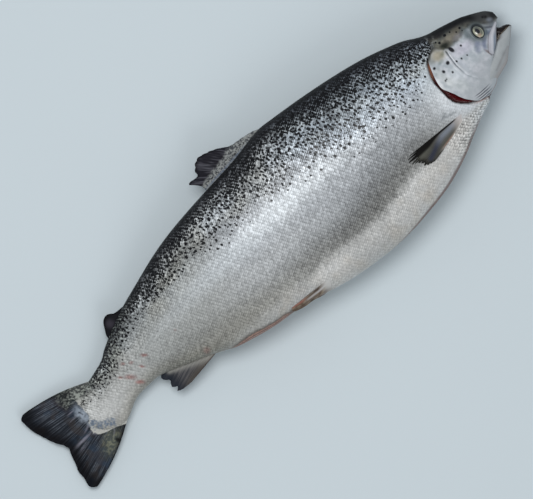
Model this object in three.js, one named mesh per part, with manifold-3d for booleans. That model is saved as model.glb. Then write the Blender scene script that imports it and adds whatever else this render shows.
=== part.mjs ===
// A whole salmon, lying on its left side with its right side up.
// Millimetres. X runs from tail to head, Y from belly to back, Z up from the surface it lies on.
// The trunk and head are one loft of rounded sections between a back line and a belly line. The
// lower jaw, tongue, gill covers, jaw plates, eyes and fins are joined to it, and the eye sockets
// and gill slits are cut, so that the fish is one solid.

import * as THREE from 'three';
import { mergeVertices } from 'three/addons/utils/BufferGeometryUtils.js';
import Module from 'manifold-3d';

const wasm = await Module();
wasm.setup();

// Driving lines of the body: [x, value] keys from tail to head
const BACK_LINE = [
  [-322, -8], [-312, 3], [-298, 11], [-284, 14], [-260, 21], [-248, 28.5], [-222, 41], [-199, 50],
  [-175, 57.3], [-127, 71], [-90, 78.2], [-42, 83.5], [20, 88.6], [68, 95.7], [91, 94], [140, 87.7],
  [188, 79.4], [224, 71], [261, 58.7], [274, 53], [285, 46.4], [297, 40.8], [310, 37.4], [328, 32.3],
  [341, 28.3], [353, 22.5], [365, 16.2], [370, 12.3], [374.5, 6.4],
];
const BELLY_LINE = [
  [-322, -34], [-312, -46], [-298, -53.5], [-284, -52.5], [-260, -42], [-236, -40], [-219, -41.5],
  [-180, -56], [-160, -64], [-144, -71.6], [-126, -80], [-107, -85.3], [-90, -89.5], [-71, -93],
  [-53, -95], [-36, -96.5], [-17, -99.4], [1.5, -107], [20, -111.6], [31, -114.2], [67, -119.4],
  [103, -121.4], [140, -119.8], [188, -113], [212, -106.3], [238, -96.3], [256, -87.6], [285, -75],
  [299, -69.8], [303.5, -65.5], [309, -62.4], [322, -56.6], [333, -43], [343, -31], [355, -21.5],
  [364, -10.5], [369, -5.5], [374.5, -2.8],
];
const HALF_WIDTH = [
  [-322, 1.5], [-312, 4.5], [-298, 8.5], [-284, 11], [-260, 14], [-222, 19], [-180, 25], [-127, 33],
  [-78, 40], [-30, 44.5], [20, 47.5], [68, 49], [120, 49], [170, 47], [220, 43], [261, 39.5], [297, 34.5],
  [321, 28], [340, 21.5], [355, 15.5], [366, 10], [372, 6], [374.5, 2.5],
];
const MID_HEIGHT = [
  [-380, 11], [-322, 13], [-284, 16], [-222, 24], [-180, 30.5], [-127, 37.5], [-78, 42.5], [-30, 45],
  [60, 45.5], [150, 45.5], [240, 45], [297, 44], [380, 43],
];
const WIDEST_SHARE = [[-322, 0.5], [-180, 0.53], [200, 0.53], [300, 0.5], [345, 0.36], [374.5, 0.3]];
const BACK_POWER = 2.1;
const BELLY_POWER = [[-322, 2], [-100, 2.25], [280, 2.25], [325, 2.6], [350, 4], [374.5, 4]];
const RING_SIDES = 32;
const TAIL_END = -322;
const SNOUT_END = 374.5;
const SNOUT_STEP = 2;
const FINE_STEP = 7;
const LONG_STEP = 13;
const FINE_TAIL_TO = -240;
const FINE_HEAD_FROM = 240;

// Lower jaw and tongue: from and to are their ends along X
const JAW_TOP = [
  [308, -43], [336, -33.5], [350, -25.4], [356, -21.8], [362, -20.2], [372, -19.7], [380, -19.9],
];
const JAW_BOTTOM = [
  [308, -62], [320, -58], [339, -52.6], [347, -49.6], [356, -42], [365, -34.8], [374, -26.9], [380, -21.4],
];
const JAW_HALF_WIDTH = [[308, 24], [325, 22], [340, 18.5], [355, 14.5], [368, 11], [376, 7.5], [380, 2]];
const JAW = {
  from: 308, to: 380, widestShare: 0.62, topPower: 4, bottomPower: 2, stations: 15, sides: 20,
};
const TONGUE_TOP = [[345, -22], [356, -14], [364, -10.5], [368, -13], [376, -16], [379, -18.5]];
const TONGUE_BOTTOM = [[345, -36], [364, -26], [379, -21]];
const TONGUE_HALF_WIDTH = [[345, 7], [356, 7.5], [368, 6.5], [376, 4.5], [379, 1.5]];
const TONGUE = {
  from: 345, to: 379, widestShare: 0.4, topPower: 2, bottomPower: 2, stations: 8, sides: 12,
};

// Gill covers, from the cheek to a rear rim that bulges from the nape to the throat. The rise grows
// to the rim with the power lift, and fades towards both ends.
const COVER = {
  front: [[300, 27], [300, 10], [300, -15], [303, -35], [312, -52]],
  rear: [
    [291, 29], [284, 23], [276, 15], [271.3, 4], [267, -9], [266, -19], [270.8, -31], [275, -41],
    [279.5, -50], [286, -58], [295, -62.5],
  ],
  rise: 2.6, lift: 1.5, ends: 6, rows: 13, columns: 6,
};

// Gill openings: width and depth go from their ends' sizes to the full ones, nearer the throat
const SLIT = {
  line: [[273.5, 14], [266.3, -4], [264.2, -18], [267.7, -34], [273.7, -48], [285, -59]],
  width: 8, endWidth: 0.4, widthLean: 1.4, depth: 7, endDepth: 1, depthLean: 1.2, stations: 13, sides: 6,
};

// Upper jaw plates, each side of the mouth, rounded across and lower at the snout
const JAW_PLATE = {
  top: [[368, -3.5], [352, -10], [342, -20.5], [337.5, -27]],
  low: [[370, -5.5], [360, -15.5], [351, -25], [340.5, -32]],
  rise: 1.2, edgeShare: 0.5, snoutShare: 0.4, rows: 8, columns: 4,
};

// Eyes: radii along and across the head, and the ball's depth and how far it stands out
const EYE = { x: 345.3, y: 0.8, long: 6.4, tall: 8, bulge: 5, out: 1.6, rings: 10 };
const SOCKET = { margin: 1.8, above: 2, depth: 1.4, rings: 8 };
const EYE_SIDES = 16;

// Fins in the plane of symmetry: root and rim in XY from front to rear, thickness at root and rim,
// how far the rim droops, and the height of its waves
const DORSAL = {
  root: [[75, 84], [24, 79], [-28.5, 76]],
  rim: [
    [72, 95.5], [62, 99.4], [49, 102], [31, 104.9], [24.8, 108.4], [17.4, 113], [9, 116.8],
    [0.6, 119.5], [-4, 120.8], [-8.7, 120.6], [-13.4, 118.8], [-16.2, 116.6], [-20.8, 111.2],
    [-23.2, 104.8], [-30, 105.4], [-37.6, 104.8], [-32.5, 99], [-27.5, 93], [-26.6, 88], [-28.5, 82],
  ],
  rows: 24, columns: 6, thick: [5, 1.3], droop: 5, wave: 0.8,
};
const ADIPOSE = {
  root: [[-200, 43], [-218, 36], [-237, 28]],
  rim: [
    [-197, 51], [-205, 51.5], [-210.3, 52.5], [-217.3, 56.8], [-222.5, 56.2], [-226.8, 53.1],
    [-231.1, 46.2], [-236, 33.5],
  ],
  rows: 11, columns: 4, thick: [7, 3], droop: 1, wave: 0,
};
const ANAL = {
  root: [[-138, -60], [-180, -46], [-222, -33]],
  rim: [
    [-139, -69.5], [-151, -68], [-173, -68.7], [-185, -70.4], [-201, -73], [-211, -72],
    [-217.8, -69.3], [-219, -61], [-220.5, -49], [-222, -42],
  ],
  rows: 17, columns: 6, thick: [5, 1.3], droop: 3, wave: 0.7,
};
const CAUDAL = {
  root: [[-276, 8], [-276, -15], [-276, -42]],
  rim: [
    [-368, 37.2], [-376, 37.4], [-380, 34.6], [-380, 27], [-379, 15], [-375.6, 0.7], [-370, -13.8],
    [-362, -28], [-364.6, -37], [-369, -50], [-372.4, -59], [-373.2, -70], [-374.6, -81],
    [-369, -87.2], [-362, -86.6],
  ],
  rows: 26, columns: 9, thick: [12, 1.4], droop: 3, wave: 2.2,
};
const CAUDAL_EDGE_SWELL = 4.5;
const FIN_TAPER = 0.6;
const WAVE_ANGLE = 5 * Math.PI;

// Paired fins laid back on the skin, and how far they stand off it
const PECTORAL = {
  root: [[268, -58], [264, -62], [259, -66]],
  rim: [
    [181, -52.2], [176, -56.5], [176.3, -61.5], [186.5, -67], [187, -73.5], [193, -76.5], [200, -77.5],
    [206, -76],
  ],
  rows: 12, columns: 11, rise: [1.4, 2.6],
};
const PELVIC = {
  root: [[8, -96.5], [6, -100], [4, -102.8]],
  rim: [[-48, -88.5], [-48.5, -90.5], [-45.5, -92.8]],
  rows: 5, columns: 8, rise: [2.4, 3.2],
};
const SKIN_SINK = 1.6;
const NORMAL_STEP = 1.5;

// A block under the surface that the fish lies on
const UNDER = { long: 1000, wide: 400, deep: 60 };

const SKIN_COLOUR = 0xa9acb1;
const SKIN_ROUGHNESS = 0.34;
const SKIN_METALNESS = 0.25;

// A smooth curve through [x, value] keys: cubic pieces whose slope at a key is that of its neighbours
function through(keys) {
  const slope = keys.map((key, i) => {
    const before = keys[Math.max(i - 1, 0)];
    const after = keys[Math.min(i + 1, keys.length - 1)];
    return (after[1] - before[1]) / (after[0] - before[0]);
  });
  return (x) => {
    let i = keys.findIndex((key) => key[0] > x) - 1;
    if (i < 0) {
      i = x <= keys[0][0] ? 0 : keys.length - 2;
    }
    const width = keys[i + 1][0] - keys[i][0];
    const t = THREE.MathUtils.clamp((x - keys[i][0]) / width, 0, 1);
    const rise = t * t * (3 - 2 * t);
    const bend = slope[i] * t * (1 - t) ** 2 - slope[i + 1] * t * t * (1 - t);
    return keys[i][1] * (1 - rise) + keys[i + 1][1] * rise + width * bend;
  };
}

const signedPower = (value, power) => Math.sign(value) * Math.abs(value) ** power;

// A loft's shape: functions of x for the top, bottom, half width, widest height and mid plane
function tubeShape(top, bottom, halfWidth, widestShare, topPower, bottomPower) {
  return {
    top: through(top),
    bottom: through(bottom),
    half: through(halfWidth),
    mid: through(MID_HEIGHT),
    widestShare,
    topPower,
    bottomPower,
  };
}

// A point of a section: the angle is 0 on the shown side, 90 degrees on the back, 270 on the belly
function sectionPoint(shape, x, angle) {
  const top = shape.top(x);
  const bottom = shape.bottom(x);
  const widest = bottom + shape.widestShare(x) * (top - bottom);
  const sine = Math.sin(angle);
  const power = 2 / (sine > 0 ? shape.topPower(x) : shape.bottomPower(x));
  const reach = sine > 0 ? top - widest : widest - bottom;
  const y = widest + reach * signedPower(sine, power);
  const z = shape.mid(x) + shape.half(x) * signedPower(Math.cos(angle), power);
  return new THREE.Vector3(x, y, z);
}

const body = tubeShape(BACK_LINE, BELLY_LINE, HALF_WIDTH, through(WIDEST_SHARE), () => BACK_POWER,
  through(BELLY_POWER));

// The body's skin over the point (x, y) of the shown side, or of the hidden side when side is -1
function skinPoint(x, y, side) {
  const top = body.top(x);
  const bottom = body.bottom(x);
  const widest = bottom + body.widestShare(x) * (top - bottom);
  const share = y > widest ? (y - widest) / (top - widest) : (widest - y) / (widest - bottom);
  const power = y > widest ? body.topPower(x) : body.bottomPower(x);
  const inside = Math.max(1 - Math.min(share, 1) ** power, 0);
  return new THREE.Vector3(x, y, body.mid(x) + side * body.half(x) * inside ** (1 / power));
}

function skinNormal(x, y, side) {
  const alongX = skinPoint(x + NORMAL_STEP, y, side).sub(skinPoint(x - NORMAL_STEP, y, side));
  const alongY = skinPoint(x, y + NORMAL_STEP, side).sub(skinPoint(x, y - NORMAL_STEP, side));
  return alongX.cross(alongY).normalize().multiplyScalar(side);
}

function meshGeometry(points, triangles) {
  const geometry = new THREE.BufferGeometry();
  geometry.setAttribute('position', new THREE.Float32BufferAttribute(points.flatMap((p) => p.toArray()), 3));
  geometry.setIndex(triangles.flat());
  return geometry;
}

// Rings of equal count joined into a tube, each end closed by a fan about its centre
function loft(rings) {
  const count = rings[0].length;
  const points = rings.flat();
  const triangles = [];
  for (let r = 0; r + 1 < rings.length; r += 1) {
    for (let i = 0; i < count; i += 1) {
      const a = r * count + i;
      const b = r * count + (i + 1) % count;
      triangles.push([a, b, a + count], [b, b + count, a + count]);
    }
  }
  [0, rings.length - 1].forEach((r) => {
    const centre = new THREE.Vector3();
    rings[r].forEach((point) => centre.addScaledVector(point, 1 / count));
    const hub = points.push(centre) - 1;
    for (let i = 0; i < count; i += 1) {
      const a = r * count + i;
      const b = r * count + (i + 1) % count;
      triangles.push(r === 0 ? [hub, b, a] : [hub, a, b]);
    }
  });
  return meshGeometry(points, triangles);
}

// Two like grids of points, a face over another, joined round their edges
function slab(upper, lower) {
  const rows = upper.length;
  const columns = upper[0].length;
  const points = [...upper.flat(), ...lower.flat()];
  const under = rows * columns;
  const triangles = [];
  const at = (row, column) => row * columns + column;
  for (let row = 0; row + 1 < rows; row += 1) {
    for (let column = 0; column + 1 < columns; column += 1) {
      const [a, b] = [at(row, column), at(row, column + 1)];
      const [c, d] = [at(row + 1, column), at(row + 1, column + 1)];
      triangles.push([a, b, c], [b, d, c]);
      triangles.push([under + a, under + c, under + b], [under + b, under + c, under + d]);
    }
  }
  const edge = [];
  for (let column = 0; column + 1 < columns; column += 1) {
    edge.push(at(0, column));
  }
  for (let row = 0; row + 1 < rows; row += 1) {
    edge.push(at(row, columns - 1));
  }
  for (let column = columns - 1; column > 0; column -= 1) {
    edge.push(at(rows - 1, column));
  }
  for (let row = rows - 1; row > 0; row -= 1) {
    edge.push(at(row, 0));
  }
  edge.forEach((a, i) => {
    const b = edge[(i + 1) % edge.length];
    triangles.push([a, under + a, b], [b, under + a, under + b]);
  });
  return meshGeometry(points, triangles);
}

function signedVolume(points, index) {
  const corner = [new THREE.Vector3(), new THREE.Vector3(), new THREE.Vector3()];
  let volume = 0;
  for (let i = 0; i < index.length; i += 3) {
    corner.forEach((point, k) => point.fromArray(points, 3 * index[i + k]));
    volume += corner[0].dot(corner[1].cross(corner[2])) / 6;
  }
  return volume;
}

// A closed geometry as a solid, its faces turned to point outwards
function solidOf(geometry) {
  geometry.deleteAttribute('normal');
  geometry.deleteAttribute('uv');
  const merged = mergeVertices(geometry, 1e-4);
  const points = new Float32Array(merged.attributes.position.array);
  const index = new Uint32Array(merged.index.array);
  if (signedVolume(points, index) < 0) {
    index.reverse();
  }
  return new wasm.Manifold(new wasm.Mesh({ numProp: 3, vertProperties: points, triVerts: index }));
}

function geometryOf(solid) {
  const mesh = solid.getMesh();
  const geometry = new THREE.BufferGeometry();
  geometry.setAttribute('position', new THREE.BufferAttribute(mesh.vertProperties, 3));
  geometry.setIndex(new THREE.BufferAttribute(mesh.triVerts, 1));
  geometry.computeVertexNormals();
  return geometry;
}

function spread(from, to, count) {
  return Array.from({ length: count }, (_, i) => from + ((to - from) * i) / (count - 1));
}

function rings(shape, stations, sides) {
  const angles = Array.from({ length: sides }, (_, i) => (2 * Math.PI * i) / sides);
  return stations.map((x) => angles.map((angle) => sectionPoint(shape, x, angle)));
}

// Trunk and head, with closer sections at the tail and the head
function trunk() {
  const stretch = (from, to, step) => spread(from, to, Math.round((to - from) / step) + 1);
  const stations = [
    ...stretch(TAIL_END, FINE_TAIL_TO, FINE_STEP),
    ...stretch(FINE_TAIL_TO, FINE_HEAD_FROM, LONG_STEP).slice(1),
    ...stretch(FINE_HEAD_FROM, SNOUT_END - FINE_STEP, FINE_STEP).slice(1),
    SNOUT_END - SNOUT_STEP,
    SNOUT_END,
  ];
  return solidOf(loft(rings(body, stations, RING_SIDES)));
}

function mouthPart(part, top, bottom, halfWidth) {
  const shape = tubeShape(top, bottom, halfWidth, () => part.widestShare, () => part.topPower,
    () => part.bottomPower);
  return solidOf(loft(rings(shape, spread(part.from, part.to, part.stations), part.sides)));
}

const planeCurve = (keys) => new THREE.SplineCurve(keys.map(([x, y]) => new THREE.Vector2(x, y)));

// Grid of points between two plane curves: rows run along the curves, columns from first to second
function between(first, second, rows, columns, place) {
  const from = planeCurve(first);
  const to = planeCurve(second);
  return spread(0, 1, rows).map((s) => {
    const start = from.getPointAt(s);
    const end = to.getPointAt(s);
    return spread(0, 1, columns).map((t) => {
      const point = start.clone().lerp(end, t);
      return place(point.x, point.y, s, t);
    });
  });
}

// A thin fin in the plane of symmetry: thick at its root, sagging and waving towards its rim
function medianFin(fin, swell = 0) {
  const face = (side) => between(fin.root, fin.rim, fin.rows, fin.columns, (x, y, s, t) => {
    const thick = THREE.MathUtils.lerp(fin.thick[0], fin.thick[1], t ** FIN_TAPER);
    const wave = fin.wave * t * Math.sin(WAVE_ANGLE * s);
    const outward = swell * Math.sin(Math.PI * t) * signedPower(1 - 2 * s, 3);
    const z = body.mid(x) - fin.droop * t * t + wave + (side * thick) / 2;
    return new THREE.Vector3(x, y + outward, z);
  });
  return solidOf(slab(face(1), face(-1)));
}

// A plate that follows the skin over a patch between two curves, from just inside it to its rise
function skinPlate(first, second, { rows, columns }, side, rise) {
  const face = (lift) => between(first, second, rows, columns, (x, y, s, t) => {
    const point = skinPoint(x, y, side);
    return point.addScaledVector(skinNormal(x, y, side), lift(s, t));
  });
  return solidOf(slab(face(rise), face(() => -SKIN_SINK)));
}

function pairedFin(fin, side) {
  const rise = (s, t) => THREE.MathUtils.lerp(fin.rise[0], fin.rise[1], t);
  return skinPlate(fin.root, fin.rim, fin, side, rise);
}

function gillCover(side) {
  const rise = (s, t) => {
    const raised = COVER.rise * t ** COVER.lift * Math.min(1, COVER.ends * s * (1 - s));
    return raised - (SKIN_SINK * (1 - t)) / 2;
  };
  return skinPlate(COVER.front, COVER.rear, COVER, side, rise);
}

function jawPlate(side) {
  const rise = (s, t) => {
    const across = THREE.MathUtils.lerp(JAW_PLATE.edgeShare, 1, Math.sin(Math.PI * t));
    return JAW_PLATE.rise * across * THREE.MathUtils.lerp(JAW_PLATE.snoutShare, 1, s);
  };
  return skinPlate(JAW_PLATE.top, JAW_PLATE.low, JAW_PLATE, side, rise);
}

// A groove behind the gill cover: a round wedge carried along its line, widest in its lower half
function gillSlit(side) {
  const line = planeCurve(SLIT.line);
  const ringsAlong = spread(0, 1, SLIT.stations).map((s) => {
    const centre = line.getPointAt(s);
    const tangent = line.getTangentAt(s);
    const width = SLIT.endWidth + SLIT.width * Math.sin(Math.PI * s ** SLIT.widthLean);
    const depth = SLIT.endDepth + SLIT.depth * Math.sin(Math.PI * s ** SLIT.depthLean);
    return Array.from({ length: SLIT.sides }, (_, i) => {
      const angle = (2 * Math.PI * i) / SLIT.sides;
      const across = (width * Math.cos(angle)) / 2;
      const x = centre.x - tangent.y * across;
      const y = centre.y + tangent.x * across;
      const point = skinPoint(centre.x, centre.y, side);
      return new THREE.Vector3(x, y, point.z + side * depth * Math.sin(angle));
    });
  });
  return solidOf(loft(ringsAlong));
}

// An ellipsoid whose third radius stands square to the skin, its centre sunk below the eye's place
function eyeEllipsoid(side, radii, sink, ringCount) {
  const normal = skinNormal(EYE.x, EYE.y, side);
  const centre = skinPoint(EYE.x, EYE.y, side).addScaledVector(normal, -sink);
  const geometry = new THREE.SphereGeometry(1, EYE_SIDES, ringCount);
  geometry.scale(...radii);
  geometry.applyQuaternion(new THREE.Quaternion().setFromUnitVectors(new THREE.Vector3(0, 0, 1), normal));
  geometry.translate(centre.x, centre.y, centre.z);
  return solidOf(geometry);
}

function eyeball(side) {
  return eyeEllipsoid(side, [EYE.long, EYE.tall, EYE.bulge], EYE.bulge - EYE.out, EYE.rings);
}

function eyeSocket(side) {
  const radii = [EYE.long + SOCKET.margin, EYE.tall + SOCKET.margin, SOCKET.above + SOCKET.depth];
  return eyeEllipsoid(side, radii, -SOCKET.above, SOCKET.rings);
}

// Everything below the surface that the fish lies on
function underSurface() {
  const block = new THREE.BoxGeometry(UNDER.long, UNDER.wide, UNDER.deep);
  block.translate(0, 0, -UNDER.deep / 2);
  return solidOf(block);
}

function wholeFish() {
  let fish = trunk().add(mouthPart(JAW, JAW_TOP, JAW_BOTTOM, JAW_HALF_WIDTH));
  fish = fish.add(mouthPart(TONGUE, TONGUE_TOP, TONGUE_BOTTOM, TONGUE_HALF_WIDTH));
  const sides = [1, -1];
  sides.forEach((side) => {
    fish = fish.add(gillCover(side)).subtract(gillSlit(side));
    fish = fish.add(jawPlate(side)).subtract(eyeSocket(side)).add(eyeball(side));
    fish = fish.add(pairedFin(PECTORAL, side)).add(pairedFin(PELVIC, side));
  });
  [DORSAL, ADIPOSE, ANAL].forEach((fin) => {
    fish = fish.add(medianFin(fin));
  });
  fish = fish.add(medianFin(CAUDAL, CAUDAL_EDGE_SWELL));
  return fish.subtract(underSurface());
}

const skin = new THREE.MeshStandardMaterial({
  color: SKIN_COLOUR,
  roughness: SKIN_ROUGHNESS,
  metalness: SKIN_METALNESS,
});

const salmon = new THREE.Mesh(geometryOf(wholeFish()), skin);
salmon.name = 'salmon';

const group = new THREE.Group();
group.add(salmon);

export default group;
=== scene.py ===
import bpy
import numpy as np
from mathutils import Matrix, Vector

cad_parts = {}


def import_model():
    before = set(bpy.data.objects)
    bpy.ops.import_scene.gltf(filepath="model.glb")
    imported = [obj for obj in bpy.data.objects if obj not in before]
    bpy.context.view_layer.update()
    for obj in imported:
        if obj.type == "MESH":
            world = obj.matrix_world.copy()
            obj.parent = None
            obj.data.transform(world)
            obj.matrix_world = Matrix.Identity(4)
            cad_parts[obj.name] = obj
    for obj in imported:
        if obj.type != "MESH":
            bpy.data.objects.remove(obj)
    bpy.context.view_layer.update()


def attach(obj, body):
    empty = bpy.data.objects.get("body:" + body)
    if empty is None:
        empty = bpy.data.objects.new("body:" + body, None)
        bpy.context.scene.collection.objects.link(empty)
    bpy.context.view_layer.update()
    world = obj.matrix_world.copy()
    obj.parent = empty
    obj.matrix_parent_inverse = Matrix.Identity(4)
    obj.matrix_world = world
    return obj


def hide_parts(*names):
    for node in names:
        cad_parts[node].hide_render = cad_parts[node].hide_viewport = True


# A whole salmon on its left side. Shapes are worked out in millimetres in the model's frame:
# x from tail to head, y from belly to back, z up. piece() turns them into metres.
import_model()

MM = 0.001
SIDES = {"right": 1, "left": -1}


def through(keys):
    """Smooth curve through (x, value) keys: between two keys, the cubic whose slope at each key
    is that of the line through the keys on both sides of it. A number is a level curve."""
    if np.isscalar(keys):
        return lambda at: keys + 0 * at
    x, y = np.array(keys, float).T
    before = np.maximum(np.arange(len(x)) - 1, 0)
    after = np.minimum(np.arange(len(x)) + 1, len(x) - 1)
    slope = (y[after] - y[before]) / (x[after] - x[before])

    def value(at):
        i = np.clip(np.searchsorted(x, at, side="right") - 1, 0, len(x) - 2)
        width = x[i + 1] - x[i]
        t = np.clip((at - x[i]) / width, 0, 1)
        rise = t * t * (3 - 2 * t)
        bend = slope[i] * t * (1 - t) ** 2 - slope[i + 1] * t * t * (1 - t)
        return y[i] * (1 - rise) + y[i + 1] * rise + width * bend

    return value


# Driving lines of the body: (x, value) keys from tail to head
BACK_LINE = [
    (-322, -8), (-312, 3), (-298, 11), (-284, 14), (-260, 21), (-248, 28.5), (-222, 41), (-199, 50),
    (-175, 57.3), (-127, 71), (-90, 78.2), (-42, 83.5), (20, 88.6), (68, 95.7), (91, 94), (140, 87.7),
    (188, 79.4), (224, 71), (261, 58.7), (274, 53), (285, 46.4), (297, 40.8), (310, 37.4), (328, 32.3),
    (341, 28.3), (353, 22.5), (365, 16.2), (370, 12.3), (374.5, 6.4),
]
BELLY_LINE = [
    (-322, -34), (-312, -46), (-298, -53.5), (-284, -52.5), (-260, -42), (-236, -40), (-219, -41.5),
    (-180, -56), (-160, -64), (-144, -71.6), (-126, -80), (-107, -85.3), (-90, -89.5), (-71, -93),
    (-53, -95), (-36, -96.5), (-17, -99.4), (1.5, -107), (20, -111.6), (31, -114.2), (67, -119.4),
    (103, -121.6), (140, -119.8), (188, -113), (212, -106.3), (238, -96.3), (256, -87.6), (285, -75),
    (299, -69.8), (303.5, -65.5), (309, -62.4), (322, -56.6), (333, -43), (343, -31), (355, -21.5),
    (364, -10.5), (369, -5.5), (374.5, -2.8),
]
HALF_WIDTH = [
    (-322, 1.5), (-312, 4.5), (-298, 8.5), (-284, 11), (-260, 14), (-222, 19), (-180, 25), (-127, 33),
    (-78, 40), (-30, 44.5), (20, 47.5), (68, 49), (120, 49), (170, 47), (220, 43), (261, 39.5),
    (297, 34.5), (321, 28), (340, 21.5), (355, 15.5), (366, 10), (372, 6), (374.5, 2.5),
]
MID_HEIGHT = through([
    (-380, 11), (-322, 13), (-284, 16), (-222, 24), (-180, 30.5), (-127, 37.5), (-78, 42.5), (-30, 45),
    (60, 45.5), (150, 45.5), (240, 45), (297, 44), (380, 43),
])
WIDEST_SHARE = [(-322, 0.5), (-180, 0.53), (200, 0.53), (300, 0.5), (345, 0.36), (374.5, 0.3)]
BELLY_POWER = [(-322, 2), (-100, 2.25), (280, 2.25), (325, 2.6), (350, 4), (374.5, 4)]
BACK_POWER = 2.1
JAW_TOP = [(308, -43), (336, -33.5), (350, -25.4), (356, -21.8), (362, -20.2), (372, -19.7), (380, -19.9)]
JAW_BOTTOM = [
    (308, -62), (320, -58), (339, -52.6), (347, -49.6), (356, -42), (365, -34.8), (374, -26.9),
    (380, -21.4),
]
JAW_HALF_WIDTH = [(308, 23), (325, 22), (340, 18.5), (355, 14.5), (368, 11), (376, 7.5), (380, 2)]
TONGUE_TOP = [(345, -22), (356, -14), (364, -10.5), (368, -13), (376, -16), (379, -18.5)]
TONGUE_BOTTOM = [(345, -36), (364, -26), (379, -21)]
TONGUE_HALF_WIDTH = [(345, 7), (356, 7.5), (368, 6.5), (376, 4.5), (379, 1.5)]

# Gill opening as x for a given y: the shoulder's edge, and the rear rim of the cover in front of it
SHOULDER_LINE = through([
    (-80, 307), (-66, 303), (-63.8, 298.4), (-62.3, 292.2), (-60.6, 286.4), (-58.4, 281), (-56, 276.8),
    (-52.2, 272.8), (-47.8, 268.8), (-43.6, 265.6), (-39.2, 263.9), (-33.2, 263), (-21.1, 262.7),
    (-9, 262.8), (-2, 264.3), (4, 266.5), (10, 269.3), (15, 272.2), (18.4, 275.6), (20.4, 280),
    (22.6, 284.5), (26, 289), (34, 298), (60, 306),
])
COVER_LINE = through([
    (-80, 311), (-67.2, 305), (-64.6, 302.4), (-63.2, 299.2), (-61.7, 293.4), (-60, 289.4),
    (-56.6, 285.2), (-52.2, 281.6), (-47.8, 278.2), (-43.6, 276), (-39.2, 274), (-34.9, 272.7),
    (-30.6, 270.5), (-26.3, 268.6), (-21.9, 266.4), (-17.6, 265.6), (-9, 267), (-2, 269), (4, 271.3),
    (10, 273.6), (15, 276.2), (18.2, 280), (20.6, 285), (24, 289), (28, 291.5), (34, 292.5), (60, 290),
])

# Colour zones as y for a given x
BACK_SHADE_LINE = through([
    (-320, 9), (-283, 10), (-259, 11.6), (-222, 31.5), (-162, 40), (-101, 52.5), (-41, 62.4), (20, 57.5),
    (80, 67), (141, 50), (201, 44), (238, 33), (262, 25), (290, 18),
])
SPOT_LINE = through([
    (-307, -12), (-259, -10), (-222, 9), (-162, 22), (-101, 29), (-41, 17.7), (20, 24), (80, 6),
    (141, -11), (201, -19), (238, -26), (262, -10), (290, -5),
])
# Centre line of the painted highlight along the flank
HIGHLIGHT_LINE = through([(-300, -20), (-240, -12), (-162, 3), (-41, 8), (92, 7), (200, 2), (290, 0)])
BELLY_SHADE_LINE = through([
    (-300, -70), (-160, -64), (-101, -68), (-41, -74.5), (20, -76.8), (80, -83.5), (141, -76.5),
    (178, -71), (238, -66), (300, -64),
])

# Lighter and darker areas of the skin, partly its own tone and partly painted light and shade: x, y, half
# length, half height, factor
TONES_AND_PAINTED_LIGHT = [
    (82, 54, 45, 15, 1.36), (-46, 57, 34, 10, 1.6), (-108, 57, 44, 14, 0.78), (-164, 58, 26, 10, 0.74),
    (141, 68, 44, 14, 0.78), (206, 56, 34, 12, 0.84), (206, 30, 46, 12, 1.12), (250, 28, 22, 12, 1.1),
    (148, 9, 40, 9, 1.1), (-101, 24, 50, 10, 1.1), (244, -46, 14, 14, 0.78), (-108, 46, 40, 8, 0.86),
    (141, 45, 26, 9, 0.78), (141, 33, 26, 7, 0.93), (82, 33, 36, 7, 0.88), (80, 82, 30, 7, 0.8),
    (18, 58, 26, 7, 0.88), (-42, 33, 26, 7, 0.92), (203, 46, 24, 7, 0.88), (203, 58, 24, 6, 1.1),
    (-162, 46, 20, 6, 1.12), (10, 71, 40, 8, 0.88), (-271, 9, 16, 7, 1.4), (82, 3, 30, 12, 0.94),
    (201, 6, 26, 12, 1.08), (-162, -51, 26, 7, 1.14), (-101, -51, 26, 7, 1.07), (-162, -38, 26, 6, 0.95),
    (180, -95, 40, 16, 1.04), (141, 24, 30, 7, 0.95), (-162, 23, 26, 7, 0.93), (-162, -75, 26, 7, 0.9),
    (240, 14, 24, 10, 1.1), (-268, 20, 20, 10, 1.2), (-317, -18, 20, 26, 1.22), (-222, 10, 20, 10, 1.07),
    (202, -51, 26, 10, 0.82), (141, -75, 30, 10, 1.08), (200, -78, 40, 12, 1.06), (-46, -78, 40, 9, 0.93),
    (-101, -62, 40, 9, 0.93),
]
# Sore marks near the tail: place, half length across the scales, half width, strength
ABRASIONS = [
    ((-243.7, 0.1), 1.8, 2.6, 0.6), ((-235.5, -5.9), 1.8, 2.4, 0.5), ((-217.6, -9.9), 1.8, 3.8, 0.75),
    ((-228.5, -18), 1.6, 3.4, 0.7), ((-248, -18), 3.0, 6.4, 0.65), ((-243.3, -30.2), 2.2, 5.2, 0.75),
    ((-257, -10.2), 1.6, 2.6, 0.7), ((-168.9, -13), 1.2, 1.6, 0.35), ((-158, -57.4), 4, 4, 0.35),
]
# End of the pale flesh on the tail, as x for a given y. High up the speckled skin of the back runs out on
# the fin. Blue-grey skin lies beyond the line in an ellipse, and before it along a path.
FLESH_LINE = through([
    (-60, -284), (-54, -294), (-49.5, -304), (-46.3, -316), (-41, -324), (-33, -326.5), (-25, -323),
    (-17, -317), (-9, -316.5), (3, -316.5), (20, -316),
])
FIN_PATCH = ((-321.5, -11.5), 5.4, 12, 0, 0.8)
WORN_PATH, WORN_HALF_WIDTH = [(-322, -27), (-313, -36), (-302, -42)], 5.0
# Grey smears behind the gill opening: place, half length, half height, turn
SHOULDER_SMEARS = [((244, -46), 5, 1.8, 20), ((252, -50), 7, 1.5, -12)]

# Scales: length along x, reach of each about its centre in scales
SCALE_PITCH = through([(-322, 3.0), (-250, 3.7), (-150, 4.4), (-60, 4.65), (180, 4.75), (300, 4.0)])
SCALE_REACH = 0.64
# How far the rows of scales lean forward, in scales per scale up the flank
ROW_LEAN = 0.4
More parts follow.
